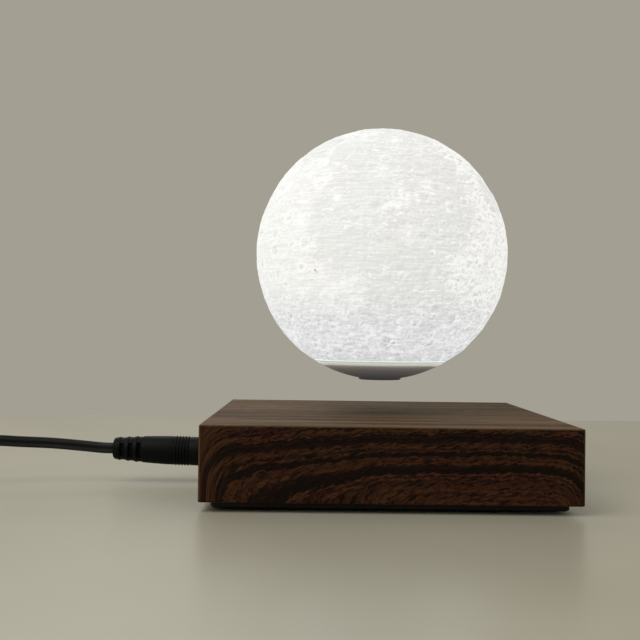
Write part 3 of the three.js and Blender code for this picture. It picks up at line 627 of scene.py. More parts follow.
def tie_material():
    """A coarse weave of ribs and threads with a little fuzz."""
    made = Shader("tie_woven")
    x, y, _ = made.parts(made.place)
    weave = made.waves(x, pitch=0.7) * made.waves(y, pitch=0.9)
    both = weave * 0.2 + made.noise(made.place, scale=2.2, detail=3)
    return made.finish(
        Base_Color=made.tones(both, ((0.25, (16, 16, 17)), (0.8, (40, 40, 42)))),
        Roughness=0.85,
        Sheen_Weight=0.15,
        Normal=made.bump(both, 0.6, depth=0.12),
    )


def make_tie():
    """A woven strap round the coil, its free end pressed down over its start."""
    strap = sweep("tie_strap", tie_path(), tie_section(), upright=(0, 1, 0))
    strap.data.transform(moved((COIL_X, COIL_Y, 0)) @ turned(TIE_DEGREES, "Z"))
    crease(strap, 40)
    paint(strap, tie_material())
    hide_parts("coil_tie")
    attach(strap, "power_plug")


# Plug
PLUG_RADIUS = 5.7
POCKET_RADIUS = 3.05
POCKET_DEPTH = 3.3
GRIP_START = 10.5
GRIP_PITCH = 1.22
GRIP_COUNT = 5
# One grip ridge: shares of the pitch, and how proud of the plug's side it stands there
GRIP_RIDGE = ((0.05, -0.16), (0.3, -0.18), (0.45, 0.1), (0.6, 0.18), (0.8, 0.12))
RELIEF_START = 30
RELIEF_RADIUS = 5.2
RELIEF_PITCH = 3.4
RELIEF_SLOT = 1.6
RELIEF_COUNT = 3
PLUG_SIDES = 64
SLOT_FLOOR = 2.9
SLOT_DEPTH = 4
SLOT_HALF_WIDTH = 3.1
SLOT_NARROWING = 0.25
TAIL_RADIUS = 4.3


def plug_outline():
    """From the pocket round the barrel, over the grip ridges, to the tapered tail."""
    outline = [(0, POCKET_DEPTH), (POCKET_RADIUS, POCKET_DEPTH), (POCKET_RADIUS, 0)]
    outline += [(PLUG_RADIUS - 0.5, 0), (PLUG_RADIUS - 0.2, 0.15), (PLUG_RADIUS, 0.5)]
    outline.append((PLUG_RADIUS, GRIP_START - 0.3))
    for i in range(GRIP_COUNT):
        start = GRIP_START + i * GRIP_PITCH
        outline += [(PLUG_RADIUS + proud, start + share * GRIP_PITCH) for share, proud in GRIP_RIDGE]
    end = GRIP_START + GRIP_COUNT * GRIP_PITCH
    outline += [(PLUG_RADIUS - 0.1, end + 0.1), (PLUG_RADIUS, end + 0.5), (PLUG_RADIUS - 0.02, end + 3)]
    outline += [(5.5, 24.5), (5.3, 28.5)]
    taper = (TAIL_RADIUS - RELIEF_RADIUS) / (PLUG_LENGTH - RELIEF_START)
    for i in range(RELIEF_COUNT):
        start = RELIEF_START + i * RELIEF_PITCH - 0.3
        far = start + RELIEF_SLOT + 0.5
        radius = RELIEF_RADIUS + taper * (start - RELIEF_START)
        outline += [(radius, start - 0.25), (radius - 0.06, start), (radius - 0.24, start + 0.15)]
        outline += [(radius - 0.26, far - 0.2), (radius - 0.1, far - 0.05), (radius - 0.03, far + 0.15)]
    outline += [(TAIL_RADIUS, PLUG_LENGTH - 0.8), (TAIL_RADIUS - 0.2, PLUG_LENGTH - 0.3)]
    return outline + [(TAIL_RADIUS - 0.6, PLUG_LENGTH), (0, PLUG_LENGTH)]


def relief_slots():
    """Boxes that cut the strain relief's slots into both of its flanks."""
    slots = []
    for i in range(RELIEF_COUNT):
        start = RELIEF_START + i * RELIEF_PITCH
        half = SLOT_HALF_WIDTH - SLOT_NARROWING * i
        for side in (-1, 1):
            near, far = side * SLOT_FLOOR, side * (SLOT_FLOOR + SLOT_DEPTH)
            ring = ((-half, near), (half, near), (half, far), (-half, far))
            slots.append(cutter([(x, y, z) for z in (start, start + RELIEF_SLOT) for x, y in ring]))
    return slots


def make_plug():
    plug = turned_solid("plug_moulding", plug_outline(), PLUG_SIDES)
    cut(plug, relief_slots())
    tilt = Matrix.Rotation(PLUG_TILT, 4, "Y")
    plug.data.transform(moved(on_plug_axis(PLUG_GAP)) @ (tilt @ turned(-90, "Y")))
    crease(plug, 32)
    rubber = linear(9, 10, 10)
    paint(plug, plastic("plug_black", rubber, 0.55, grain=5, bump=0.2, spread=0.2, specular=0.1))
    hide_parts("plug_body")
    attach(plug, "power_plug")


# Plate screws
STEEL = (0.5, 0.5, 0.51)
STEEL_ROUGH = 0.32
SCREW_FACE = 1.05
SCREW_HEAD = 2.8
SCREW_EDGE = 0.1
HEAD_HEIGHT = 1.3
SCREW_SHANK = 1.4
SCREW_TIP = 12.05
SCREW_SIDES = 32
SCREW_TURNS = (12, 57, 84, 33)
# The cross recess below the face and at its floor: height, length of an arm, half of its width
RECESS_RINGS = ((SCREW_FACE - 0.3, 1.5, 0.34), (SCREW_FACE + 0.9, 0.75, 0.2))


def recess_cutter(degrees):
    """A cross with tapered arms that reaches into a screw's head from below."""
    points = []
    for height, arm, half in RECESS_RINGS:
        for quarter in range(4):
            along = Vector((*polar(1, radians(degrees + 90 * quarter)), 0))
            across = Vector((-along.y, along.x, 0))
            for a, b in ((half, -half), (arm, -half), (arm, half)):
                points.append(along * a + across * b + Vector((0, 0, height)))
    return cutter(points)


def make_plate_screws():
    """Countersunk screws with a cross recess in each head."""
    outline = [(0, SCREW_FACE), (SCREW_HEAD - SCREW_EDGE, SCREW_FACE), (SCREW_HEAD, SCREW_FACE + 0.08)]
    outline += [(SCREW_SHANK, SCREW_FACE + HEAD_HEIGHT), (SCREW_SHANK, SCREW_TIP - SCREW_SHANK)]
    outline.append((0, SCREW_TIP))
    finish = metal("plate_screw_steel", STEEL, STEEL_ROUGH)
    for i, degrees in enumerate(SCREW_TURNS, 1):
        low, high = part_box(f"plate_screw_{i}")
        screw = turned_solid(f"countersunk_screw_{i}", outline, SCREW_SIDES)
        cut(screw, [recess_cutter(degrees)])
        middle = Vector(((low[0] + high[0]) / 2, (low[1] + high[1]) / 2, 0))
        screw.data.transform(Matrix.Translation(middle))
        crease(screw, 25)
        paint(screw, finish)
        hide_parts(f"plate_screw_{i}")
        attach(screw, "base")


# Globe's relief
# Dark plains: longitude and latitude in degrees, and reach as a share of the radius
PLAINS = [(-19, 14, 0.34), (-9, 39, 0.36), (21, 38, 0.33), (25, 13, 0.3), (6, -6, 0.4)]
PLAINS += [(-18, -2, 0.27), (26, -28, 0.17), (-1, -27, 0.18), (64, 24, 0.22), (-34, -6, 0.06)]
PLAINS += [(140, 20, 0.3), (-150, -30, 0.34), (100, -35, 0.2), (-95, 30, 0.24)]
PLAIN_DEPTH = 0.3
PLAIN_CALM = 0.75
CRATER_DEPTH = 0.5
CRATER_RIM = 0.2
LARGEST_CRATER = 11
CRATERS = {"count": 60, "smallest": 4.5, "largest": LARGEST_CRATER, "step": 0.326}
PIT_DEPTH = 0.16
PIT_RIM = 0.09
PITS = {"count": 900, "smallest": 0.9, "largest": 3.4, "step": 0.618, "turn": 1.1}
HILL_HEIGHT = 0.16
GLOBE_COLUMNS = 300
GLOBE_ROWS = 168
INNER_ROWS = 16
SEAM_FADE = 5
NOISE_SEED = 1


def towards(longitude, latitude):
    """The direction of a place on the globe. Longitude 0 faces the front."""
    u, v = radians(longitude), radians(latitude)
    return (sin(u) * cos(v), -cos(u) * cos(v), sin(v))


def craters(count, smallest, largest, step, turn=0.0):
    """Middles of craters on a golden spiral, with uneven sizes."""
    golden = pi * (3 - sqrt(5))
    made = []
    for i in range(count):
        height = 1 - (2 * i + 1) / count
        width = sqrt(1 - height**2)
        size = smallest + (largest - smallest) * ((i * step) % 1) ** 3
        made.append((np.array((*polar(width, i * golden + turn), height)), size))
    return made


def bowl(away, depth, rim, rim_width):
    """Height of a crater at a distance from its middle, in its own radii."""
    return rim * np.exp(-(((away - 1) / rim_width) ** 2)) - depth * np.where(away < 1, 1 - away**2, 0)


def relief(directions):
    """Height of the globe's skin over its sphere, for an array of directions."""
    noise.seed_set(NOISE_SEED)
    wobble = np.array([noise.noise_vector(Vector(d) * 3.1) for d in directions]) * 0.07
    warped = directions + wobble
    plain = np.zeros(len(directions))
    for longitude, latitude, reach in PLAINS:
        away = np.linalg.norm(warped - np.array(towards(longitude, latitude)), axis=1) / reach
        plain = np.maximum(plain, 1 - smoothstep(away, 0.75, 1.15))
    height = -PLAIN_DEPTH * plain
    for centre, size in craters(**CRATERS):
        away = np.linalg.norm(directions - centre, axis=1) * MOON_RADIUS / size
        height += bowl(away, CRATER_DEPTH, CRATER_RIM, 0.25) * size / LARGEST_CRATER
    rough = 1 - PLAIN_CALM * plain
    for centre, size in craters(**PITS):
        near = np.nonzero(directions @ centre > 1 - 0.5 * (2 * size / MOON_RADIUS) ** 2)[0]
        away = np.linalg.norm(directions[near] - centre, axis=1) * MOON_RADIUS / size
        height[near] += bowl(away, PIT_DEPTH, PIT_RIM, 0.3) * rough[near] * size / 2
    hills = np.array([noise.fractal(Vector(d) * 9, 0.7, 2.1, 5) for d in directions])
    return height + HILL_HEIGHT * hills * rough


def arc(radius, first, last, steps):
    """Part of a circle as (radius, height) pairs, by the angle from its lowest point."""
    angles = [first + (last - first) * i / steps for i in range(steps + 1)]
    return [(radius * sin(angle), -radius * cos(angle)) for angle in angles]


def make_globe():
    """The printed shell: its relief outside, smooth inside, open below at the seam."""
    inner = MOON_RADIUS - SHELL_WALL
    drop = MOON_Z - SEAM_Z
    outline = arc(inner, pi, acos(drop / inner), INNER_ROWS)
    outline += arc(MOON_RADIUS, acos(drop / MOON_RADIUS), pi, GLOBE_ROWS)
    points, faces = lathe(outline, GLOBE_COLUMNS)
    points = np.array(points)
    radii = np.linalg.norm(points, axis=1)
    outer = np.nonzero(radii > MOON_RADIUS - SHELL_WALL / 2)[0]
    directions = points[outer] / radii[outer][:, None]
    fade = smoothstep(points[outer][:, 2] + drop, 0, SEAM_FADE)
    points[outer] = directions * (radii[outer] + fade * relief(directions))[:, None]
    points[:, 2] += MOON_Z
    globe = mesh_object("moon_relief", points.tolist(), faces)
    crease(globe, 60)
    paint(globe, globe_material())
    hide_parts("moon_shell")
    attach(globe, "globe")


# Globe's material
# Two more plains show in the print only
PRINT_PLAINS = [*PLAINS, (10, 66, 0.34), (-52, 52, 0.2)]
# Small brown specks: longitude, latitude and reach
SPECKS = [(-41.5, 1.6, 0.015), (-33, -14.5, 0.015), (-57, 13, 0.01), (-22, -30, 0.012), (47, -24, 0.01)]
SPECK_BROWN = (0.3, 0.2, 0.09)
PRINT_TONE = 0.948
PRINT_BRIGHTEST = 0.992
PRINT_LAYER = 0.55
SMALL_PITS = 0.42
LARGE_PITS = 0.17
BLOB_SCALE = 0.062
EMBOSS_OFFSET = (0.3, 0, -0.35)


class MoonPrint(Shader):
    """The globe's material and the fields that its tones are made of."""

    def __init__(self):
        super().__init__("moon_print")
        self.local = self.vmath("SUBTRACT", self.place, (0, 0, MOON_Z))
        self.direction = self.vmath("NORMALIZE", self.local)
        blurred = self.shifted(self.direction, self.direction, scale=30, detail=2, reach=0.02)
        self.blurred = self.vmath("SCALE", blurred, MOON_RADIUS)
        warped = self.shifted(self.direction, self.direction, scale=3.4, detail=5, reach=0.34)
        flattened = self.vmath("MULTIPLY", self.direction, (1, 1, 2.6))
        self.ragged = self.shifted(warped, flattened, scale=9, detail=4, reach=0.2)

    def from_spot(self, longitude, latitude):
        return self.distance(self.ragged, towards(longitude, latitude))

    def plains(self):
        plain = 0.0
        for longitude, latitude, reach in PRINT_PLAINS:
            inside = self.fade(self.from_spot(longitude, latitude), reach * 0.74, reach * 1.06, 1, 0)
            plain = self.math("MAXIMUM", plain, inside)
        return plain

    def layered(self, width, tall, detail, **settings):
        """A noise whose marks lie flat, as the print's layers do."""
        return self.stretched(self.local, (width, width, tall), detail, **settings)

    def curls(self, width, tall, distortion, reach):
        """Curled lines along the middle value of a noise."""
        away = abs(self.layered(width, tall, 2, distortion=distortion) - 0.5)
        return self.fade(away, 0, reach, 1, 0)

    def pitted(self, offset, scale):
        """Bowls of uneven sizes and their rims: how far a place is in a bowl, and on a rim."""
        away, colour = self.cells(self.vmath("ADD", self.blurred, offset), scale)
        chance = self.parts(colour)[0]
        away = away / self.remap(chance * chance, 0, 1, 0.14, 0.5)
        off_rim = away - 1.1
        return self.fade(away, 0.35, 1, 1, 0), self.math("EXPONENT", off_rim * off_rim * -11)

    def skin(self, offset):
        """Hills and pits as a height, to be lit."""
        place = self.vmath("ADD", self.local, offset)
        height = self.stretched(place, (0.3, 0.3, 0.46), 4, roughness=0.6, distortion=0.8)
        for scale, weight in ((SMALL_PITS, 0.13), (LARGE_PITS, 0.2)):
            inside, rim = self.pitted(offset, scale)
            height = height + (rim * 0.6 - inside) * weight
        return height

    def emboss(self):
        """The skin lit as if from the upper left."""
        other = tuple(-part for part in EMBOSS_OFFSET)
        return self.skin(EMBOSS_OFFSET) - self.skin(other)

    def blobs(self):
        """Sparse bright spots with a pale halo."""
        sparse, _ = self.cells(self.blurred, BLOB_SCALE)
        return self.remap(sparse, 0.06, 0.1, 1, 0) + self.remap(sparse, 0.05, 0.3, 0.6, 0)


def globe_material():
    """Lit printed plastic with pale plains, bright rough highlands and small craters."""
    made = MoonPrint()
    across, _, height = made.parts(made.local)
    low = made.fade(height, -12, -30)
    plain = made.plains() * (1 - low * 0.7)
    calm = 1 - plain * 0.6
    eastern = made.fade(across, -32, 26, 0.35, 1.2)
    rough = made.math("MAXIMUM", calm * eastern, low)
    strokes = (made.layered(0.11, 1.5, 4, roughness=0.7) - 0.5) * 0.26
    mottle = made.layered(0.36, 0.75, 5, roughness=0.72, distortion=0.6)
    flecks = made.fade(made.layered(0.36, 0.95, 2, roughness=0.6), 0.6, 0.64)
    patches = made.fade(made.layered(0.06, 0.12, 3, roughness=0.6), 0.42, 0.6, 0.25, 1)
    large_bowl, large_rim = made.pitted((0, 0, 0), LARGE_PITS)
    small_bowl, small_rim = made.pitted((0, 0, 0), SMALL_PITS)
    # the tone, from 0 to 1 as on a screen, is a sum of fields and their weights
    terms = (
        (plain, -0.036),
        (low, -0.048),
        (made.fade(across, -34, 30), -0.016),
        (made.fade(height, -36, -42.5), -0.035),
        (made.math("MAXIMUM", strokes, -0.014), 1.0),
        ((mottle - 0.5) * rough, 0.15),
        (made.emboss() * (rough + 0.25), -0.2),
        (flecks * patches, 0.08),
        (made.curls(0.22, 0.42, distortion=1.4, reach=0.035) * rough, 0.04),
        (made.curls(0.5, 0.95, distortion=1.8, reach=0.05) * rough, 0.04),
        (made.curls(0.26, 0.5, distortion=1.6, reach=0.03) * rough, -0.04),
        (large_rim * calm, 0.03),
        (large_bowl * calm, -0.03),
        (small_rim * rough, 0.03),
        (small_bowl * rough, -0.03),
        (made.blobs(), 0.05),
    )
    tone = sum((term * weight for term, weight in terms), PRINT_TONE)
    tone = made.math("MINIMUM", tone, PRINT_BRIGHTEST)
    blush = made.fade(made.noise(made.direction, scale=1.7), 0.4, 0.62)
    warm = made.mix(blush, (0.985, 1, 0.965), (1, 0.985, 0.965))
    hue = made.mix(low, warm, (0.982, 0.997, 1.0))
    colour = made.tint(hue, made.math("POWER", tone, 2.2))
    for longitude, latitude, reach in SPECKS:
        inside = made.remap(made.from_spot(longitude, latitude), reach, reach * 2.2, 0.6, 0)
        colour = made.mix(inside, colour, SPECK_BROWN)
    rough_print = made.bump(mottle, 0.6, depth=0.4)
    return made.finish(
        Base_Color=made.tint(colour, (0.22, 0.22, 0.22)),
        Roughness=0.75,
        Specular_IOR_Level=0.2,
        Emission_Color=colour,
        Emission_Strength=0.86,
        Normal=made.bump(made.waves(height, PRINT_LAYER), 0.25, depth=0.04, normal=rough_print),
    )


# Cap and ring
TURNED_SIDES = 120
RING_HEIGHT = 1.6
GLOW_TOP = SEAM_Z - GAP
GLOW_LOW = GLOW_TOP - RING_HEIGHT
CAP_TOP = GLOW_LOW - GAP
CAP_INNER = MOON_RADIUS - 1.6
CAP_RIM = 1.8
CAP_STEPS = 20
CAP_INNER_STEPS = 6
PAD_RADIUS = 8.4
BOSS_OUTER = 11.5
BOSS_INNER = 9.5
MAGNET_EDGE = 16
RING_BORE = 22
SPIGOT_HEIGHT = 3
RING_EDGE = 0.15
# Painted tones from the pad up to the cap's rim: a painted shadow at the pad's edge, painted shade low
# down and painted light towards the lit ring
CAP_LOW_Z = 42.3
CAP_HIGH_Z = 48.6
CAP_LIGHT_AND_SHADE_TONES = [(0.0, (34, 34, 38)), (0.05, (69, 70, 76)), (0.35, (98, 97, 99))]
CAP_LIGHT_AND_SHADE_TONES += [(0.7, (131, 125, 121)), (0.88, (163, 157, 152)), (1.0, (206, 203, 196))]
# Tones from the ring's lower edge up
RING_TONES = [(0.0, (216, 218, 210)), (0.3, (238, 243, 235)), (0.55, (234, 239, 231))]
RING_TONES += [(0.62, (208, 214, 206)), (0.72, (224, 234, 226)), (1.0, (228, 239, 231))]


def on_sphere(radius, distance):
    """Height of the lower side of a sphere about the globe's middle."""
    return MOON_Z - sqrt(radius**2 - distance**2)


def radius_at(height):
    """The globe's radius about its axis at a height."""
    return sqrt(MOON_RADIUS**2 - (MOON_Z - height) ** 2)


def cap_outline():
    """The flat pad, the dish and the boss under the magnet."""
    rim = radius_at(CAP_TOP)
    pad = MOON_Z - MOON_RADIUS
    outline = [(0, pad), (PAD_RADIUS - 0.4, pad), (PAD_RADIUS, pad + 0.12)]
    start = PAD_RADIUS + 0.15
    for i in range(CAP_STEPS + 1):
        radius = start + (rim - start) * i / CAP_STEPS
        outline.append((radius, on_sphere(MOON_RADIUS, radius)))
    inside = rim - CAP_RIM
    outline.append((inside, CAP_TOP))
    for i in range(1, CAP_INNER_STEPS + 1):
        radius = inside + (BOSS_OUTER - inside) * i / CAP_INNER_STEPS
        outline.append((radius, on_sphere(CAP_INNER, radius)))
    boss_top = on_sphere(CAP_INNER, MAGNET_EDGE)
    outline += [(BOSS_OUTER, boss_top), (BOSS_INNER, boss_top)]
    return outline + [(BOSS_INNER, on_sphere(CAP_INNER, BOSS_INNER)), (0, on_sphere(CAP_INNER, 0))]


def cap_material():
    """Smooth plastic, dark at the pad in painted shade and brightened towards the rim by painted light
    from the lit ring above it, with a faint painted glow.
    """
    made = Shader("cap_painted_light_and_shade")
    drift = made.noise(made.place, scale=0.12, detail=3)
    height = made.parts(made.place)[2] + (drift - 0.5) * 0.7
    colour = made.tones(made.remap(height, CAP_LOW_Z, CAP_HIGH_Z), CAP_LIGHT_AND_SHADE_TONES)
    return made.finish(
        Base_Color=colour,
        Roughness=made.vary(drift, 0.3, 0.42),
        Specular_IOR_Level=0.4,
        # the cap's faint glow is painted light
        Emission_Color=colour,
        Emission_Strength=0.35,
        Normal=made.bump(made.noise(made.place, scale=5), 0.06, depth=0.03),
    )


def make_cap():
    cap = turned_solid("cap_dish", cap_outline(), TURNED_SIDES)
    paint(cap, cap_material())
    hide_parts("moon_cap")
    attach(cap, "globe")


def ring_outline():
    """Two bands with a fine groove between them, and the spigot in the shell."""
    spigot = sqrt((MOON_RADIUS - SHELL_WALL) ** 2 - (MOON_Z - SEAM_Z) ** 2) - GAP
    groove = (GLOW_LOW + GLOW_TOP) / 2 + RING_EDGE
    band = [(radius_at(z), z) for z in (GLOW_LOW + RING_EDGE, groove - RING_EDGE)]
    band.append((radius_at(groove) - 0.35, groove))
    band += [(radius_at(z), z) for z in (groove + RING_EDGE, GLOW_TOP - RING_EDGE)]
    outline = [(RING_BORE, GLOW_LOW), (radius_at(GLOW_LOW) - 0.2, GLOW_LOW), *band]
    outline += [(radius_at(GLOW_TOP) - 0.25, GLOW_TOP), (spigot, GLOW_TOP)]
    return outline + [(spigot, GLOW_TOP + SPIGOT_HEIGHT), (RING_BORE, GLOW_TOP + SPIGOT_HEIGHT)]


def ring_material():
    """Clear plastic, lit from inside, a little streaky along its height."""
    made = Shader("ring_clear")
    streaks = made.stretched(made.place, (0.25, 0.25, 3), 3)
    bands = made.tones(made.remap(made.parts(made.place)[2], GLOW_LOW, GLOW_TOP), RING_TONES)
    colour = made.tint(made.shades(streaks, (0.86, 0.86, 0.86), (1.0, 1.0, 1.0)), bands)
    return made.finish(
        Base_Color=made.tint(colour, (0.5, 0.5, 0.5)),
        Roughness=0.25,
        Emission_Color=colour,
        Emission_Strength=0.63,
    )


def make_glow_ring():
    ring = turned_solid("glow_band", ring_outline(), TURNED_SIDES)
    paint(ring, ring_material())
    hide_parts("glow_ring")
    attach(ring, "globe")


# Wood
# A face counts as the top, or as a left or right side, where its normal passes this share.
FACING = 0.7
# The grain's lines are nested arches, steeper at the board's left and right ends.
LEFT_RISE = 16.5
LEFT_SLOPE = 0.19
LEFT_CURL, LEFT_REACH = 10.0, 3.5
RIGHT_CURL, RIGHT_REACH = 12.0, 8.0
RIPPLE_HEIGHT = 2.4
DRIFT_HEIGHT = 4.0
SIDE_OFFSET = 40.0
# Dark bands of grain: height at the middle of the board, and half of the width
DARK_BANDS = [(12.2, 1.4), (17.0, 0.7), (22.4, 1.4), (26.0, 0.4)]
SIDE_TONES = ((0.0, (19, 13, 9)), (0.3, (30, 17, 12)), (0.65, (50, 29, 19)), (1.0, (72, 45, 27)))
# The top's tones are paler than the sides': its grain with a painted sheen
TOP_TONES_WITH_SHEEN = ((0.36, (46, 32, 21)), (0.5, (74, 57, 40)), (0.62, (106, 85, 62)))
STREAK_TONE = linear(62, 37, 26)
# A paler tone painted along the top edges and corners as a highlight
EDGE_HIGHLIGHT_TONE = linear(112, 84, 58)


class WoodFoil(Shader):
    """The base's foil and the fields that its grain is made of."""

    def __init__(self):
        super().__init__("walnut_foil")
        self.x, self.y, self.z = self.parts(self.place)
        normal = self.node("NewGeometry").outputs["True Normal"]
        self.upward = self.parts(normal)[2]
        self.facing = self.parts(self.vmath("ABSOLUTE", normal))
        self.is_side = self.math("GREATER_THAN", self.facing[0], FACING)
        self.is_top = self.math("GREATER_THAN", self.facing[2], FACING)
        self.along = self.x * (1 - self.is_side) + self.y * self.is_side
        # the left and right sides get other noise than the front and back
        self.other = self.is_side * SIDE_OFFSET

    def falling(self, distance, reach, weight):
        """A value that is weight at distance zero and dies away over reach."""
        return self.math("EXPONENT", distance * (-1 / reach)) * weight

    def arches(self):
        """How high a place's line of grain lies in the middle of the board."""
        from_left, from_right = self.along + HALF_SIDE, HALF_SIDE - self.along
        slope = self.math("MAXIMUM", LEFT_RISE - from_left * LEFT_SLOPE, 0.0)
        left = slope + self.falling(from_left, LEFT_REACH, LEFT_CURL)
        right = self.falling(from_right, RIGHT_REACH, RIGHT_CURL)
        up = self.z - WOOD_LOW
        smooth = self.math("SQRT", left * left + right * right + up * up)
        # ripples that slant up to the right jag the lines, less so at the left end
        slant_along = self.along * 0.9 + self.z * 0.42
        slant_up = self.z * 0.9 - self.along * 0.42
        ripple = self.noise(self.vector(slant_along * 0.25, slant_up, self.other)) - 0.5
        drift = self.noise(self.vector(self.along, self.z, self.other), scale=0.045) - 0.5
        at_end = self.fade(self.along, -62, -50, 0.3, 1)
        return smooth + ripple * at_end * RIPPLE_HEIGHT + drift * DRIFT_HEIGHT

    def side_value(self):
        """The sides' shade, from 0 for the darkest grain to 1."""
        grain = self.arches()
        dark = 0.0
        for where, wide in DARK_BANDS:
            inside = self.fade(abs(grain - where), wide * 0.65, wide * 1.15, 1, 0)
            dark = self.math("MAXIMUM", dark, inside)
        bands = self.noise(grain, scale=0.3, detail=1)
        lines = self.noise(grain, scale=1.5, roughness=0.6)
        slanted = grain - self.along * 0.25
        pores = self.noise(self.vector(self.along * 0.2, slanted * 2.1, self.other + 7), detail=1.5)
        value = 0.72 + (bands - 0.5) * 0.7 + (lines - 0.5) * 1.5 + (pores - 0.5) * 0.6
        value = value - dark * 0.55 + self.fade(self.along, -50, -64, 0, 0.2)
        cracks = self.fade(pores, 0.42, 0.47, 1, 0)
        return self.math("SUBTRACT", value, cracks * 0.5, clamp=True)

    def along_x(self, stretch_x, stretch_y, offset, **settings):
        """A noise whose marks run along X, as the top's grain does."""
        where = self.vector(self.x * stretch_x, self.y * stretch_y, offset)
        return self.noise(where, detail=3, **settings)

    def painted_edge_highlight(self):
        """A painted highlight on the top edges and the upright corners, where the surface turns from
        one face to the next.
        """
        nx, ny, _ = self.facing
        rim = self.math("MAXIMUM", nx, ny) * self.upward
        return self.remap(self.math("MAXIMUM", rim, nx * ny), 0.1, 0.5, 0, 0.5)


def wood_material():
    """Nested arches of grain on the sides, calmer straight grain on top."""
    made = WoodFoil()
    value = made.side_value()
    # the sides drift from a redder brown to a more olive one
    drift = made.remap(made.noise(made.place, scale=0.07), 0.38, 0.62)
    hue = made.mix(drift, (1.1, 0.94, 0.98), (0.95, 1.05, 0.95))
    sides = made.tint(made.tones(value, SIDE_TONES), hue)
    bands = made.along_x(0.009, 0.16, 3, roughness=0.55, distortion=0.25)
    lines = made.along_x(0.03, 2.1, 9, roughness=0.6)
    top_value = bands * 0.7 + lines * 0.4
    streaks = made.fade(made.along_x(0.01, 0.2, 21, roughness=0.6), 0.36, 0.46, 0.6, 0)
    # the top is paler partly from its grain and partly from painted sheen
    top = made.mix(streaks, made.tones(top_value, TOP_TONES_WITH_SHEEN), STREAK_TONE)
    gloss = made.noise(made.place, scale=0.2, detail=3)
    return made.finish(
        # the paler edges are a painted highlight
        Base_Color=made.mix(made.painted_edge_highlight(), made.mix(made.is_top, sides, top), EDGE_HIGHLIGHT_TONE),
        Roughness=made.vary(gloss, 0.5, 0.6),
        Specular_IOR_Level=0.06,
        Normal=made.bump(value + top_value * made.is_top, 0.12, depth=0.12),
    )


# Carried-over nodes
WIRE_PITCH = 0.6


def copper_winding(name):
    """Enamelled wire, wound in flat layers."""
    made = Shader(name)
    wires = made.waves(made.parts(made.place)[2], WIRE_PITCH)
    drift = made.noise(made.place, scale=0.5, detail=3)
    return made.finish(
        Base_Color=made.shades(drift, linear(150, 78, 42), linear(196, 112, 62)),
        Metallic=0.85,
        Roughness=made.remap(wires, -1, 1, 0.5, 0.28),
        Normal=made.bump(wires, 0.6, depth=0.15),
    )


def circuit_board(name):
    """Green board with a pattern of tracks and round pads."""
    made = Shader(name)
    greens = (linear(16, 84, 50), linear(12, 70, 42), linear(38, 120, 76))
    tracks = made.node("TexBrick", made.place, *greens)
    made.fill(tracks, Scale=0.16, Mortar_Size=0.05)
    dots, _ = made.cells(made.vmath("MULTIPLY", made.place, (1, 1, 0)), 0.28, randomness=0.6)
    pad = made.remap(dots, 0.12, 0.16, 1, 0)
    return made.finish(
        Base_Color=made.mix(pad, tracks.outputs["Color"], linear(190, 160, 96)),
        Roughness=made.vary(made.noise(made.place, scale=0.6, detail=3), 0.3, 0.45),
        Normal=made.bump(tracks.outputs["Fac"], 0.2, depth=0.05),
    )


def light_chip(name):
    """A small lit chip with a mottled phosphor."""
    made = Shader(name)
    spots, _ = made.cells(made.place, 0.5)
    colour = made.ramp(spots, (0.0, (1.0, 0.96, 0.82)), (1.0, (0.92, 0.82, 0.5)))
    return made.finish(Base_Color=colour, Roughness=0.35, Emission_Color=colour, Emission_Strength=0.9)


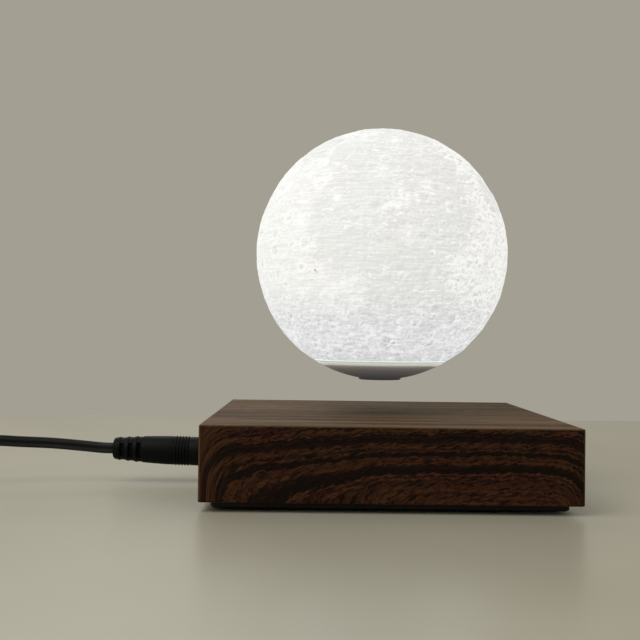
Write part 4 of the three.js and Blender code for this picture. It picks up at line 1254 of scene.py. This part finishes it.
def dress_nodes():
    """Gives the carried-over CAD nodes the materials of their slots."""
    black = linear(12, 12, 12)
    finishes = {
        "wood": wood_material(),
        "black_plastic": plastic("plate_black", black, 0.6, grain=4, bump=0.25, specular=0.25),
        "foot_rubber": plastic("foot_rubber", linear(20, 20, 20), 0.75, grain=8, bump=0.3),
        "steel": metal("screw_steel", STEEL, STEEL_ROUGH),
        "board": circuit_board("board_green"),
        "ferrite": plastic("ferrite_dark", linear(62, 62, 66), 0.55, 2, 0.3, spread=0.15, specular=0.6),
        "copper": copper_winding("copper_wire"),
        "white_plastic": plastic("moulded_white", linear(216, 214, 208), 0.5, bump=0.12, spread=0.05),
        "nickel": metal("nickel_plate", (0.66, 0.64, 0.6), 0.2),
        "capacitor_can": metal("capacitor_can", (0.12, 0.13, 0.19), 0.35),
        "light_chip": light_chip("light_chip"),
        "adapter_plastic": plastic("adapter_black", linear(27, 28, 29), 0.55, bump=0.3),
    }
    for row in frame["record"]["subparts"]:
        # the slots left out are those of nodes that the scene's own pieces replace
        if row["material_slot"] in finishes:
            paint(frame["nodes"][row["node"]], finishes[row["material_slot"]])


# Stage and light
TABLE_HALF = 316
TABLE_CORNER = 60
TABLE_STEPS = 12
TABLE_Z = -0.02
BACKDROP = linear(163, 159, 147)
# Lights: name, place and size in metres, and power in watts
LIGHT_TARGET = Vector((0, 0, 0.05))
LIGHTS = (
    ("key", Vector((-0.6, -0.5, 1.0)), 1.2, 9),
    ("fill", Vector((0.9, -0.5, 0.8)), 1.2, 1.5),
    ("rim", Vector((-0.3, 1.0, 0.9)), 1.0, 2.5),
)


def make_stage():
    """The pale table top, a square with round corners."""
    reach = TABLE_HALF - TABLE_CORNER
    edge = round_box((-reach, -reach), (reach, reach), TABLE_CORNER, TABLE_STEPS)
    points = [(x, y, TABLE_Z) for x, y in edge]
    floor = mesh_object("floor", points, [range(len(points))], smooth=False)
    made = Shader("table_pale")
    cloud = made.noise(made.place, scale=0.01, detail=3)
    finish = made.finish(
        Base_Color=made.shades(cloud, linear(168, 164, 147), linear(176, 172, 155)),
        Roughness=0.3,
        Specular_IOR_Level=0.9,
        Normal=made.bump(made.noise(made.place, scale=1.2), 0.02, depth=0.05),
    )
    paint(floor, finish)


def make_world():
    world = bpy.data.worlds.new("World")
    world.use_nodes = True
    scene.world = world
    background = world.node_tree.nodes["Background"]
    background.inputs["Color"].default_value = (*BACKDROP, 1)
    background.inputs["Strength"].default_value = 1.0


def make_lights():
    for name, place, size, power in LIGHTS:
        data = bpy.data.lights.new(name, "AREA")
        data.shape = "DISK"
        data.size = size
        data.energy = power
        lamp = bpy.data.objects.new(name, data)
        scene.collection.objects.link(lamp)
        lamp.location = place
        lamp.rotation_euler = (LIGHT_TARGET - place).to_track_quat("-Z", "Y").to_euler()


scene.view_settings.view_transform = "Standard"
make_camera()
make_tie()
make_cord()
make_plug()
make_plate_screws()
make_stage()
make_world()
make_lights()
dress_nodes()
make_globe()
make_cap()
make_glow_ring()
